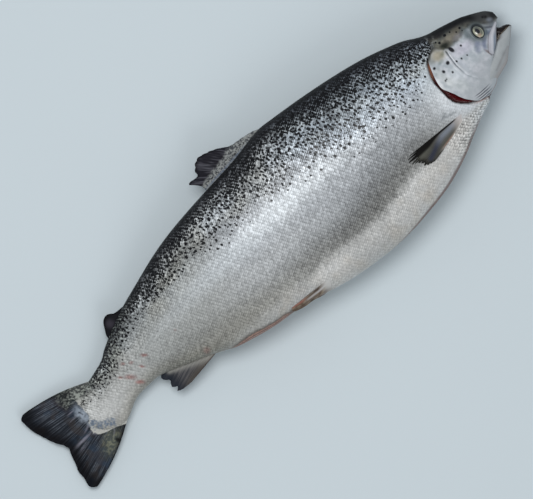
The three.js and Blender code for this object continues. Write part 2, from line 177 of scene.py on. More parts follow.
# Points of the trunk's grid to a scale, and how far on the map of scales the hidden side lies
PER_SCALE, HIDDEN_SHIFT = 4, 400
SCALE_RELIEF = 0.19
GILL_DEPTH, COMB_GRID = 7.0, (260, 14)
TABLE_SOFTNESS = 1.2
BAKE_MARGIN = 0.005
NOISE_CELLS = 97
# Ends of the trunk's grid, and the tip of the snout
TAIL_X, TRUNK_END_X, NOSE_X = -322, 306, 374.5
SILVER, BLACK = (166, 170, 174), (10, 11, 15)


def colour(red, green, blue):
    """A colour given from 0 to 255 as on a screen, as linear light."""
    value = np.array([red, green, blue]) / 255
    return np.where(value <= 0.04045, value / 12.92, ((value + 0.055) / 1.055) ** 2.4)


def ease(value, low=0.0, high=1.0):
    """0 below low, 1 above high, and 3t^2 - 2t^3 between."""
    t = np.clip((value - low) / (high - low), 0, 1)
    return t * t * (3 - 2 * t)


def fall(value, low=0.0, high=1.0):
    """1 below low, 0 above high, eased between."""
    return 1 - ease(value, low, high)


def window(value, low, full, fade, high):
    """0 below low and above high, 1 from full to fade, eased between."""
    return ease(value, low, full) * fall(value, fade, high)


def bell(value, width):
    """exp(-(value / width)^2), a soft hump."""
    return np.exp(-((value / width) ** 2))


def signed_power(value, power):
    """|value|^power with the sign of value."""
    return np.sign(value) * np.abs(value) ** power


def mix(first, second, share):
    """Colours blended by a share at each point. A tuple is a colour from 0 to 255."""
    first, second = (colour(*tint) if isinstance(tint, tuple) else tint for tint in (first, second))
    share = np.asarray(share)[..., None]
    return first * (1 - share) + second * share


def turned(x, y, degrees):
    """(x, y) on axes turned by some degrees: (x cos + y sin, y cos - x sin)."""
    angle = np.radians(degrees)
    return x * np.cos(angle) + y * np.sin(angle), y * np.cos(angle) - x * np.sin(angle)


def noise(x, y, size, seed):
    """Smooth random field of about -1 to 1: seeded values on two square lattices, the second turned
    and half as wide, eased between."""
    total = 0
    for turn, finer, share in ((33, 1, 0.75), (74, 2, 0.45)):
        table = np.random.default_rng(seed * 10 + finer).uniform(-1, 1, (NOISE_CELLS, NOISE_CELLS))
        u, v = turned(x * finer / size, y * finer / size, turn)
        i, j = np.floor(u).astype(int), np.floor(v).astype(int)
        fu, fv = ease(u - i), ease(v - j)
        here, beyond = i % NOISE_CELLS, (i + 1) % NOISE_CELLS
        low, high = (table[here, k % NOISE_CELLS] * (1 - fu) + table[beyond, k % NOISE_CELLS] * fu
                     for k in (j, j + 1))
        total = total + share * (low * (1 - fv) + high * fv)
    return total


def blot(x, y, place, wide, tall, degrees=0.0, soft=0.5):
    """1 inside an ellipse about a place, turned by some degrees, and 0 outside, eased between."""
    across, along = turned(x - place[0], y - place[1], degrees)
    return fall(np.hypot(across / wide, along / tall), 1 - soft, 1 + soft)


class Paint:
    """Colour at the points (x, y), which takes others over it. A tuple is a colour from 0 to 255."""

    def __init__(self, x, y, first, second, share):
        self.x, self.y, self.colour = x, y, mix(first, second, share)

    def over(self, tint, share):
        """Lays a colour over, by a share at each point, and gives the outcome."""
        self.colour = mix(self.colour, tint, share)
        return self.colour

    def patch(self, tint, strength, *ellipse):
        """Lays a colour over inside a blot's ellipse."""
        return self.over(tint, blot(self.x, self.y, *ellipse) * strength)


def from_path(x, y, path):
    """Distance of each point (x, y) from a path of straight runs, and how far along it from 0 to 1."""
    path = np.array(path, float)
    best = np.full(np.shape(x), 1e9)
    along = np.zeros(np.shape(x))
    for k, (a, b) in enumerate(zip(path[:-1], path[1:])):
        run = b - a
        t = np.clip(((x - a[0]) * run[0] + (y - a[1]) * run[1]) / (run @ run), 0, 1)
        gap = np.hypot(x - a[0] - t * run[0], y - a[1] - t * run[1])
        nearer = gap < best
        along = np.where(nearer, (k + t) / (len(path) - 1), along)
        best = np.where(nearer, gap, best)
    return best, along


class Loft:
    """A tube of rounded sections along x. The angle a is 0 on the shown side, 90 degrees on the back:
    y = widest + reach * sin(a)^(2/power) and z = mid + half * cos(a)^(2/power), keeping signs,
    where reach and power are those of the upper or the lower half."""

    def __init__(self, top, bottom, half, widest_share, top_power, bottom_power):
        self.top, self.bottom, self.half = through(top), through(bottom), through(half)
        self.widest_share, self.mid = through(widest_share), MID_HEIGHT
        self.top_power, self.bottom_power = through(top_power), through(bottom_power)

    def widest(self, x):
        """y of the widest line: a share of the way from the bottom to the top."""
        return self.bottom(x) + self.widest_share(x) * (self.top(x) - self.bottom(x))

    def halves(self, x, upper):
        """Reach and power of the upper half or the lower one."""
        reach = np.where(upper, self.top(x) - self.widest(x), self.widest(x) - self.bottom(x))
        return reach, np.where(upper, self.top_power(x), self.bottom_power(x))

    def point(self, x, angle):
        """The formula above at each x and angle."""
        sine, cosine = np.sin(angle), np.cos(angle)
        reach, power = self.halves(x, sine > 0)
        y = self.widest(x) + reach * signed_power(sine, 2 / power)
        z = self.mid(x) + self.half(x) * signed_power(cosine, 2 / power)
        return np.stack(np.broadcast_arrays(x, y, z), -1)

    def skin(self, x, y, side):
        """The surface over (x, y) on the shown side (1) or the hidden one (-1)."""
        reach, power = self.halves(x, y > self.widest(x))
        share = np.minimum(np.abs(y - self.widest(x)) / reach, 1)
        z = self.mid(x) + side * self.half(x) * (1 - share ** power) ** (1 / power)
        return np.stack(np.broadcast_arrays(x, y, z), -1)

    def skin_normal(self, x, y, side, step=1.5):
        """The cross product of the skin's runs along x and along y, at length 1."""
        along = self.skin(x + step, y, side) - self.skin(x - step, y, side)
        up = self.skin(x, y + step, side) - self.skin(x, y - step, side)
        return unit(np.cross(along, up)) * side


def unit(vectors):
    """Vectors divided by their lengths."""
    return vectors / np.maximum(np.linalg.norm(vectors, axis=-1, keepdims=True), 1e-9)


body = Loft(BACK_LINE, BELLY_LINE, HALF_WIDTH, WIDEST_SHARE, BACK_POWER, BELLY_POWER)
jaw = Loft(JAW_TOP, JAW_BOTTOM, JAW_HALF_WIDTH, 0.62, 4, 2)
tongue_loft = Loft(TONGUE_TOP, TONGUE_BOTTOM, TONGUE_HALF_WIDTH, 0.4, 2, 2)


def grid_normals(points):
    """Unit normals of a closed grid of points: row direction crossed with column direction."""
    columns = np.roll(points, -1, 1) - np.roll(points, 1, 1)
    return unit(np.cross(np.gradient(points, axis=0), columns))


def on_table(points):
    """Soft flesh flattens on the table: z becomes half of z + sqrt(z^2 + s^2), never below it."""
    z = points[..., 2]
    points[..., 2] = 0.5 * (z + np.sqrt(z * z + TABLE_SOFTNESS * TABLE_SOFTNESS))
    return points


def shares(rows, columns):
    """Shares from 0 to 1 down a grid's rows, and along its columns."""
    return np.linspace(0, 1, rows)[:, None], np.linspace(0, 1, columns)[None, :]


def grid_faces(rows, columns, closed=False):
    """Quads of a grid and each corner's place on it from 0 to 1; closed joins the last column to
    the first."""
    spans = columns if closed else columns - 1
    i, j = np.meshgrid(np.arange(rows - 1), np.arange(spans), indexing="ij")
    row = np.stack([i, i + 1, i + 1, i], -1)
    column = np.stack([j, j, j + 1, j + 1], -1)
    faces = (row * columns + column % columns).reshape(-1, 4)
    place = np.stack([row / (rows - 1), column / spans], -1).reshape(-1, 4, 2)
    return faces, place


def placed(name, data):
    """A new object with this mesh, light or camera in the scene."""
    made = bpy.data.objects.new(name, data)
    bpy.context.scene.collection.objects.link(made)
    return made


def piece(name, points, faces, place, material, slot, paint, maps=None, zones=None, flip=False):
    """A mesh in metres from points in millimetres. Faces that have lost a corner are dropped or kept as
    triangles, and flip turns them all round. maps are UV maps by name, paint and zones are colours, all
    given by point."""
    points = points.reshape(-1, 3)
    if flip:
        faces, place = faces[:, ::-1], place[:, ::-1]
    keep = faces != np.roll(faces, -1, 1)
    corners = keep.sum(1)
    whole = corners > 2
    keep, corners, faces, place = keep[whole], corners[whole], faces[whole], place[whole]
    loops = faces[keep]
    mesh = bpy.data.meshes.new(name)
    mesh.vertices.add(len(points))
    mesh.vertices.foreach_set("co", (points * MM).astype(np.float32).ravel())
    mesh.loops.add(len(loops))
    mesh.loops.foreach_set("vertex_index", loops.astype(np.int32))
    mesh.polygons.add(len(faces))
    mesh.polygons.foreach_set("loop_start", (np.cumsum(corners) - corners).astype(np.int32))
    mesh.polygons.foreach_set("use_smooth", np.ones(len(faces), bool))
    for key, values in (maps or {}).items():
        layer = mesh.uv_layers.new(name=key)
        layer.uv.foreach_set("vector", values.reshape(-1, 2)[loops].astype(np.float32).ravel())
    layer = mesh.uv_layers.new(name="OFBake")
    place = BAKE_MARGIN + (1 - 2 * BAKE_MARGIN) * place[keep]
    layer.uv.foreach_set("vector", place.astype(np.float32).ravel())
    for key, values in {"paint": paint, "zones": zones}.items():
        if values is None:
            continue
        attribute = mesh.attributes.new(key, "FLOAT_COLOR", "POINT")
        solid = np.concatenate([values.reshape(-1, 3), np.ones((len(points), 1))], 1)
        attribute.data.foreach_set("color", solid.astype(np.float32).ravel())
    mesh.update(calc_edges=True)
    mesh.validate()
    mesh.materials.append(material)
    made = placed(name, mesh)
    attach(made, "root")
    return made


def tube(name, points, paint, material, slot):
    """A piece from a grid whose last column joins the first. Its faces are turned round where the volume
    that they enclose comes out below 0."""
    faces, place = grid_faces(*points.shape[:2], closed=True)
    corner = points.reshape(-1, 3)[faces]
    a, b, c, d = np.moveaxis(corner - corner.mean((0, 1)), 1, 0)
    inward = (a * np.cross(b, c)).sum() + (a * np.cross(c, d)).sum() < 0
    return piece(name, points, faces, place, material, slot, paint, flip=inward)


def capped(points, paint):
    """Points and colours of a grid with one more row at each end, whose points lie in the end's middle."""
    ends = [np.broadcast_to(points[[k]].mean(1, keepdims=True), points[:1].shape) for k in (0, -1)]
    return np.concatenate([ends[0], points, ends[1]], 0), np.concatenate([paint[:1], paint, paint[-1:]], 0)


# Materials


def operator(operation, swapped=False):
    """A method of Value that adds one Math node."""

    def method(value, other=0.0):
        first, second = (other, value) if swapped else (value, other)
        return value.shade.node("Math", {"operation": operation}, {0: first, 1: second})

    return method


class Value:
    """A shader socket in a Python expression: each operator adds one Math node."""

    __add__ = __radd__ = operator("ADD")
    __mul__ = __rmul__ = operator("MULTIPLY")
    __sub__, __rsub__ = operator("SUBTRACT"), operator("SUBTRACT", swapped=True)
    __truediv__ = operator("DIVIDE")
    at_least, over = operator("MAXIMUM"), operator("GREATER_THAN")
    floor, nearest, root = operator("FLOOR"), operator("ROUND"), operator("SQRT")

    def __init__(self, shade, socket):
        self.shade, self.socket = shade, socket

    def output(self, name):
        return Value(self.shade, self.socket.node.outputs[name])


class Shade:
    """One material. node() adds any node from its type, settings and sockets."""

    def __init__(self, name, **constants):
        self.material = bpy.data.materials.new(name)
        self.material.use_nodes = True
        self.tree = self.material.node_tree
        self.shader = self.tree.nodes["Principled BSDF"]
        for socket, value in constants.items():
            self.shader.inputs[socket.replace("_", " ")].default_value = value

    def node(self, kind, settings=None, sockets=None, out=0):
        node = self.tree.nodes.new("ShaderNode" + kind)
        for key, value in (settings or {}).items():
            setattr(node, key, value)
        for key, value in (sockets or {}).items():
            self.feed(node.inputs[key], value)
        return Value(self, node.outputs[out])

    def feed(self, socket, value):
        if isinstance(value, Value):
            self.tree.links.new(value.socket, socket)
        else:
            socket.default_value = value

    def surface(self, **links):
        for socket, value in links.items():
            self.feed(self.shader.inputs[socket.replace("_", " ")], value)
        return self.material

    def paint(self, name):
        return self.node("Attribute", {"attribute_name": name})

    def parts(self, value, kind="SeparateColor"):
        node = self.node(kind, {}, {0: value}).socket.node
        return [Value(self, output) for output in node.outputs]

    def coordinates(self, map_name=None):
        if map_name:
            return self.node("UVMap", {"uv_map": map_name})
        return self.node("TexCoord", out=3)

    def join(self, x, y, z=0.0):
        return self.node("CombineXYZ", {}, {0: x, 1: y, 2: z})

    def noise(self, vector, scale, detail=2.0):
        return self.node("TexNoise", {}, {"Vector": vector, "Scale": scale, "Detail": detail})

    def ramp(self, value, low, high):
        """0 below low, 1 above high, eased between."""
        sockets = {"Value": value, "From Min": low, "From Max": high}
        return self.node("MapRange", {"interpolation_type": "SMOOTHSTEP"}, sockets)

    def blend(self, first, second, share, kind="MIX"):
        first = first if isinstance(first, Value) else (*first, 1.0)
        second = second if isinstance(second, Value) else (*second, 1.0)
        settings = {"data_type": "RGBA", "blend_type": kind}
        return self.node("Mix", settings, {0: share, 6: first, 7: second}, out=2)

    def grey(self, value):
        return self.node("CombineColor", {}, {0: value, 1: value, 2: value})

    def bump(self, height, distance, strength, under=None):
        sockets = {"Height": height, "Distance": distance, "Strength": strength}
        if under:
            sockets["Normal"] = under
        return self.node("Bump", {}, sockets)


def scale_owner(along, across, shift):
    """Of one of the two lattices of scales: how far behind its rear edge a point lies, and the place of
    the scale's centre. A scale is a disc of SCALE_REACH about its centre, and the scale whose disc
    covers the point and lies nearest the head is the one on top."""
    row = (across - shift).nearest()
    gap = across - shift - row
    rear = along - shift + (SCALE_REACH ** 2 - gap * gap).at_least(0.0001).root()
    column = rear.floor()
    return rear - column, column + shift, row + shift


# Layers of black spots: cells to a scale, where they begin in the spots' zone, how their number rises
# from there, their least reach and how much it varies, how black they are
SPOT_LAYERS = (
    (0.64, 0.0, 1.2, 0.15, 0.12, 0.97), (0.95, 0.2, 1.3, 0.19, 0.14, 0.97),
    (1.6, 0.1, 0.8, 0.18, 0.17, 0.7),
)


def skin_material():
    """Scaled skin. Each scale is lighter or darker at random, a painted glint of the silver, with a dark
    line painted behind each rear edge as the shadow of the scale over it, stronger on its lower half.
    On the dusky back the line is pale and each scale has a black middle, which fewer scales have lower
    down. Black spots are cells of Voronoi patterns laid over the scales, slanted and shifted a little at
    each scale."""
    shade = Shade("scaled_skin", Coat_Roughness=0.2, Specular_IOR_Level=0.15)
    dusk, spotted, netted = shade.parts(shade.paint("zones"))[:3]
    along, across = shade.parts(shade.coordinates("scales"), "SeparateXYZ")[:2]
    edge_a, x_a, y_a = scale_owner(along, across, 0.0)
    edge_b, x_b, y_b = scale_owner(along, across, 0.5)
    second_on_top = x_b.over(x_a)
    edge = edge_a + (edge_b - edge_a) * second_on_top
    own_y = y_a + (y_b - y_a) * second_on_top
    own = shade.join(x_a + (x_b - x_a) * second_on_top, own_y)
    chance = shade.node("TexWhiteNoise", {"noise_dimensions": "2D"}, {"Vector": own}, 1)
    first, second, third = shade.parts(chance)[:3]
    cluster = shade.ramp(shade.noise(own, 0.2), 0.35, 0.65)
    fine = shade.noise(shade.coordinates(), 390.0)
    # A dark line painted behind each scale's rear edge as the shadow of the scale over it; on the dusky
    # back it is made pale
    net = (1 - shade.ramp(edge, 0.0, 0.42)) * (0.85 + 0.25 * shade.ramp(own_y - across, -0.3, 0.2))
    light = 1.08 + netted * 0.1 + (first - 0.5) * (0.12 + netted * 0.5)
    light = light - net * (0.14 + netted * 0.65) * (1 - dusk)
    light = (light + net * dusk * dusk * (0.5 + first * 1.6)) * (1 + (fine - 0.5) * (0.45 + netted * 1.3))
    base = shade.blend(shade.paint("paint"), shade.grey(light), 1.0, "MULTIPLY")
    slanted = along + across * (ROW_LEAN + 0.16) + (first - 0.5) * 0.14
    nudge = shade.join(slanted, (across + (third - 0.5) * 0.14) * 0.8)
    for size, start, rise, least, spread, depth in SPOT_LAYERS:
        sockets = {"Vector": nudge, "Scale": size, "Randomness": 0.8}
        cells = shade.node("TexVoronoi", {"voronoi_dimensions": "2D"}, sockets)
        kept, reach = shade.parts(cells.output("Color"))[:2]
        size_here = (least + reach * spread) * (0.85 + spotted * 0.25)
        far = cells.output("Distance") / size_here + (fine - 0.5) * 0.6
        there = ((spotted - start) * rise * (0.6 + cluster * 0.8)).over(kept)
        base = shade.blend(base, colour(*BLACK), (1 - shade.ramp(far, 0.85, 1.1)) * there * depth)
    aside, ahead = (across - own_y) / 0.42, (edge - 0.3) / 0.27
    far = (ahead * ahead + aside * aside).root() / (0.65 + first * 0.5 + dusk * 0.35) + (fine - 0.5) * 0.6
    there = shade.ramp(dusk * (0.75 + cluster * 0.5) - second, 0.0, 0.3)
    base = shade.blend(base, colour(*BLACK), (1 - shade.ramp(far, 0.7, 1.1)) * there * 0.95)
    height = (1 - edge) * (0.4 + third * 0.6)
    normal = shade.bump(height, 0.0003, 0.6, shade.bump(fine, 0.0003, 0.4))
    metal = (0.12 + 0.16 * first) * (1 - dusk)
    return shade.surface(Base_Color=base, Roughness=0.38 + second * 0.1 + dusk * 0.22, Metallic=metal,
                         Coat_Weight=(0.08 + 0.2 * third) * (1 - dusk * 0.8), Normal=normal)


def smooth_material(name, roughness=0.34, coat=0.3, grain=700.0, depth=0.0002, spread=0.3, metal=0.0,
                    shine=0.3, dull=0.0):
    """Painted wet skin without scales: fine mottling in colour, gloss and height. The darker the paint,
    the more of `dull` is added to the roughness."""
    shade = Shade(name, Coat_Weight=coat, Coat_Roughness=0.12, Metallic=metal, Specular_IOR_Level=shine)
    place = shade.coordinates()
    fine = shade.noise(place, grain, 3.0)
    broad = shade.noise(place, grain * 0.2)
    light = (1 - spread / 2) + fine * spread * 0.6 + broad * spread * 0.4
    base = shade.blend(shade.paint("paint"), shade.grey(light), 1.0, "MULTIPLY")
    normal = shade.bump(fine, depth, 0.5)
    dark = 1 - shade.ramp(shade.parts(shade.paint("paint"))[0], 0.02, 0.18)
    rough = roughness - 0.1 + broad * 0.2 + dark * dull
    return shade.surface(Base_Color=base, Roughness=rough, Normal=normal)


SKIN = skin_material()
HEAD = smooth_material("head_skin", coat=0.06, metal=0.12, shine=0.1, dull=0.35)
FIN = smooth_material("fin_membrane", roughness=0.42, coat=0.02, grain=1100.0, spread=0.5, shine=0.06,
                      dull=0.2)
MOUTH = smooth_material("mouth_lining", roughness=0.3, coat=0.25, shine=0.15)
EYE_MATERIAL = smooth_material("eye_surface", roughness=0.16, coat=1.0, grain=1600.0, depth=0.00002)
TOOTH = smooth_material("tooth_enamel", roughness=0.3, coat=0.4, spread=0.15)


# Trunk: two halves whose points follow the scales, so that the relief of each scale is in the mesh


def scale_height(along, across):
    """Relief of overlapping scales from 0 to 1, highest at a scale's rear edge, by the rule of
    scale_owner."""
    found = []
    for shift in (0.0, 0.5):
        gap = across - shift - np.round(across - shift)
        half = np.sqrt(np.maximum(SCALE_REACH ** 2 - gap * gap, 0.0001))
        column = np.floor(along - shift + half)
        found.append((along - shift + half - column, column + shift))
    edge = np.where(found[1][1] > found[0][1], found[1][0], found[0][0])
    return 1 - np.clip(edge, 0, 1)


def gill_groove(x, y):
    """Depth of the gill opening behind and under the cover, and of the trunk's end under the head."""
    behind_cover = ease(x - SHOULDER_LINE(y), 0.0, 1.4)
    opening = ease(y, -73, -68) * (1 - 0.65 * ease(y, -22, -2)) * fall(y, 24, 30)
    return behind_cover * (1.6 + (GILL_DEPTH - 1.6) * opening)


def speckled_skin(x, y):
    """Dark to light grey by a fine noise."""
    return mix((44, 49, 50), (156, 161, 154), ease(noise(x, y, 1.7, 66), -0.2, 0.5))


def tail_end(x, y, fin, flesh):
    """The fin's colour beyond the end of the flesh and the flesh's before it, with blue-grey skin on
    both sides, a cream rim low down, and the speckled back over both high up."""
    rough, mottled = noise(x, y, 3, 72), noise(x, y, 1.8, 78)
    inside = x - FLESH_LINE(y) + 1.1 * rough + 0.8 * mottled
    worn = blot(x + 2.2 * rough, y + 2 * mottled, *FIN_PATCH) * ease(mottled, -1.0, -0.1)
    fin = mix(fin, (158, 168, 180), worn)
    away, _ = from_path(x, y, WORN_PATH)
    worn = fall(away / WORN_HALF_WIDTH + 0.7 * rough + 0.6 * noise(x, y, 1.6, 73), 0.5, 1.3)
    flesh = mix(flesh, (112, 126, 144), worn * ease(mottled + 0.5 * rough, -1.0, 0.5))
    paint = Paint(x, y, fin, flesh, ease(inside, -0.9, 0.9))
    rim = bell(inside - 1.3, 1.5) * fall(y, -24, -14) * (0.6 + 0.4 * rough)
    paint.over((200, 200, 192), rim * 0.5)
    high = ease(y + 0.12 * (x + 310) + 2.5 * rough, 1, 9)
    root = high * ease(x, -338, -326) * fall(x, -300, -262)
    paint.over(speckled_skin(x, y), root * 0.92)
    return paint.over((30, 32, 32), root * ease(y - 0.75 * (x + 322), 8, 18) * 0.6)


def trunk_paint(x, y, side):
    """Painted colour of the trunk at (x, y), and its zones: how many scales have black middles, how far
    up the spots' zone a point lies, and how far the net of scales stands out."""
    wander = noise(x, y, 30, 11 + side) * 5 + noise(x, y, 10, 14 + side) * 3
    tone = 1 + 0.03 * noise(x, y, 30, 13)[..., None]
    above_line = y - BACK_SHADE_LINE(x)
    rise = above_line + wander
    below_top = body.top(x) - y
    # A painted highlight: a pale band along the flank
    painted_highlight = bell(y - HIGHLIGHT_LINE(x), 15) * ease(x, -280, -30) * (1 - 0.75 * ease(x, 50, 180))
    above_belly = y - BELLY_SHADE_LINE(x)
    # A dark grey band on the lower flank, partly the skin's own grey and partly a painted reflection of
    # dark surroundings
    band = bell(above_belly - 13, 16 + 14 * bell(x - 150, 75))
    band = band * (0.3 + 0.7 * bell(x - 100, 95) + 0.25 * bell(x + 178, 40)) * fall(x, 185, 230)
    # A painted sheen on the middle of the lower flank
    painted_sheen = bell(above_belly - 44, 21) * bell(x + 38, 90)
    warm_low = fall(above_belly, 4, 42) * (1 - 0.5 * ease(x, -100, 60))
    lower = fall(above_belly, 4, 66)
    belly = fall(above_belly + 0.8 * wander, -9, 7) * (0.35 + 0.65 * ease(x, -140, 30))
    paint = Paint(x, y, colour(*SILVER) * tone, colour(166, 168, 165) * tone, fall(x, -130, -30))
    paint.over((158, 160, 159), lower * 0.6)
    paint.over((206, 208, 208), painted_sheen * 0.45)
    # The dark band: partly the skin's grey, partly a painted reflection
    paint.over((96, 98, 100), band * 0.75)
    paint.over((152, 149, 138), warm_low * 0.55)
    # The painted highlight band
    paint.over((216, 222, 226), painted_highlight * 0.75)
    warm = ease(noise(x, y, 34, 17 + side), -0.3, 0.4)
    paint.over(mix((170, 176, 180), (177, 178, 172), warm), ease(rise, -34, -8) * 0.6)
    paint.over((136, 139, 140), ease(rise, -10, 12) * 0.8)
    paint.over((88, 90, 94), ease(rise, 4, 22) * 0.9)
    ridge = ease(x, -290, -210) * (0.7 + 0.3 * ease(x, -120, -40))
    paint.over((36, 37, 42), fall(below_top + 0.5 * wander, 2, 16) * ridge * 0.85)
    paint.over((16, 16, 20), fall(below_top, 0, 8) * ridge * 0.6)
    line = bell(y - HIGHLIGHT_LINE(x) - 1, 0.9) * ease(noise(x, y, 5, 23), -0.6, 0.3)
    paint.over((104, 108, 112), line * fall(x, 200, 240) * 0.3)
    pale = mix((204, 204, 202), (200, 196, 189), ease(noise(x, y, 22, 15), -0.3, 0.8))
    paint.over(pale, belly * (1 - 0.4 * bell(x - 75, 45)))
    paint.over((236, 233, 228), belly * ease(x, 205, 250) * 0.7)
    tail = fall(x, -300, -190)
    paint.over((204, 205, 203), tail * fall(rise, -22, -4) * 0.85)
    flecked = bell(x + 240, 44) * ease(rise, -24, 0)
    paint.over(speckled_skin(x, y), flecked * 0.65)
    blots = ease(noise(x, y, 4, 24), -0.1, 0.3) * bell(x + 284, 26) * fall(below_top, 2, 8)
    paint.over((22, 24, 26), blots * 0.85)
    dots = ease(noise(x, y, 1.9, 25), 0.42, 0.6) * bell(x + 282, 34) * ease(rise, -34, -8)
    paint.over((56, 60, 62), dots * 0.85)
    above_bottom = y - body.bottom(x)
    aside = np.where(y < body.widest(x), body.skin(x, y, 1)[..., 2] - body.mid(x), 99)
    under = fall(above_bottom, 3, 22) * fall(x, -150, -110)
    paint.over((128, 126, 116), under * 0.6)
    cut = window(x, -146, -98, -60, -42)
    reach = 15.5 * np.sqrt(cut) + 0.9 * noise(x, y, 16, 20)
    stripes = 0.5 - 0.5 * np.cos(2 * np.pi * (reach - aside) / 4.6 + 0.5 * noise(x, y, 6, 19))
    flesh = mix((88, 58, 50), (176, 134, 118), stripes)
    flesh = mix(flesh, (54, 20, 18), bell(aside, 2.5))
    paint.over((88, 76, 66), bell(aside - reach, 2.6) * ease(cut, 0, 0.3) * 0.75)
    paint.over(flesh, fall(aside - reach, -2.0, 0.5) * ease(cut, 0, 0.3) * 0.9)
    seam = window(x, 60, 170, 262, 298)
    edge = fall(aside - 16 * np.sqrt(seam), -5, 0)
    paint.over((102, 66, 58), edge * ease(seam, 0, 0.4) * 0.85)
    brown = fall(above_bottom, 2.5, 7) * ease(x, -64, -48) * fall(x, -16, 14)
    paint.over((94, 76, 66), brown * 0.85)
    bluish = (ease(x, 40, 120) * ease(rise, -60, -20))[..., None]
    paint.colour = paint.colour * (1 + bluish * [-0.06, 0.0, 0.06])
    # Lighter and darker areas, partly the skin's tone and partly painted light and shade
    for centre_x, centre_y, wide, tall, factor in TONES_AND_PAINTED_LIGHT:
        area = blot(x, y, (centre_x, centre_y), wide, tall, 0, 0.9)
        paint.colour = paint.colour * (1 + (factor - 1) * area)[..., None]
    ragged = x + 1.2 * noise(x, y, 3, 16)
    for place, wide, tall, strength in ABRASIONS:
        paint.over((142, 84, 78), blot(ragged, y, place, wide, tall, 45, 0.8) * strength)
    paint.colour = tail_end(x, y, (62, 68, 74), paint.colour)
    groove = gill_groove(x, y) / GILL_DEPTH
    # Inside the gill opening: orange-brown flesh high up and the gills' dark red lower down, darkened
    # partly as painted shade in the recess, with dark grey at the top as a painted shadow in the narrow
    # gap
    flesh = mix((142, 96, 74), (38, 4, 8), ease(-y, -2, 12))
    flesh = mix(flesh, (56, 50, 46), ease(y, 9, 17))
    paint.over(flesh, ease(groove, 0.2, 0.4))
    rear = SHOULDER_LINE(y) - x
    shoulder = bell(np.maximum(rear, 0), 15 - 0.35 * np.clip(y, -60, 20)) * fall(above_line, -14, 2)
    below = ease(-y, -5, 32)
    bright = mix((188, 196, 200), (222, 227, 231), below)
    paint.over(bright, shoulder * fall(groove, 0.1, 0.3) * (0.65 + 0.3 * below))
    paint.over((196, 194, 188), bell(x - 292, 14) * bell(y + 67.5, 3) * 0.7)
    rusty = bell(x - 294, 10) * bell(y + 63.2 + 0.25 * (x - 294), 1.2)
    paint.over((168, 122, 106), rusty * 0.8)
    paint.patch((58, 18, 22), 0.9, (302, -66.6), 2.6, 2.8, 0, 0.6)
    for ellipse in SHOULDER_SMEARS:
        paint.patch((112, 118, 122), 0.55, *ellipse, 0.8)
    lowest = SPOT_LINE(x)
    height = (y - lowest + 0.5 * wander) / np.maximum(BACK_SHADE_LINE(x) - lowest, 12)
    spotted = (0.1 * ease(height, -0.04, 0.04) + 0.9 * np.clip(height, 0, 1)) * (1 - 0.8 * shoulder)
    dusk = 0.2 * ease(height, 0.5, 0.85) + 0.8 * ease(height, 0.85, 1.25)
    breast = ease(x, 215, 245) * ease(-y, 62, 68)
    bold = window(x, -60, 20, 150, 230) * bell(height - 0.5, 0.42)
    rearward = fall(x, -130, -40) * ease(height, -0.9, 0.1)
    netted = 0.4 + 0.6 * ease(height, 0.3, 0.9) + 0.35 * band - 0.1 * painted_highlight + 0.8 * bold + 0.5 * rearward
    netted = netted * (1 - 0.8 * shoulder) * (1 - 0.5 * belly) + 0.8 * breast
    netted = netted * (1 - 0.5 * bell(x + 285, 45) * fall(height, 0, 0.5))
    plain = ease(x - FLESH_LINE(y), -1, 1) * (1 - ease(y, 0, 8) * fall(x, -312, -290))
    return paint.colour, np.stack([dusk, spotted, netted], -1) * plain[..., None]


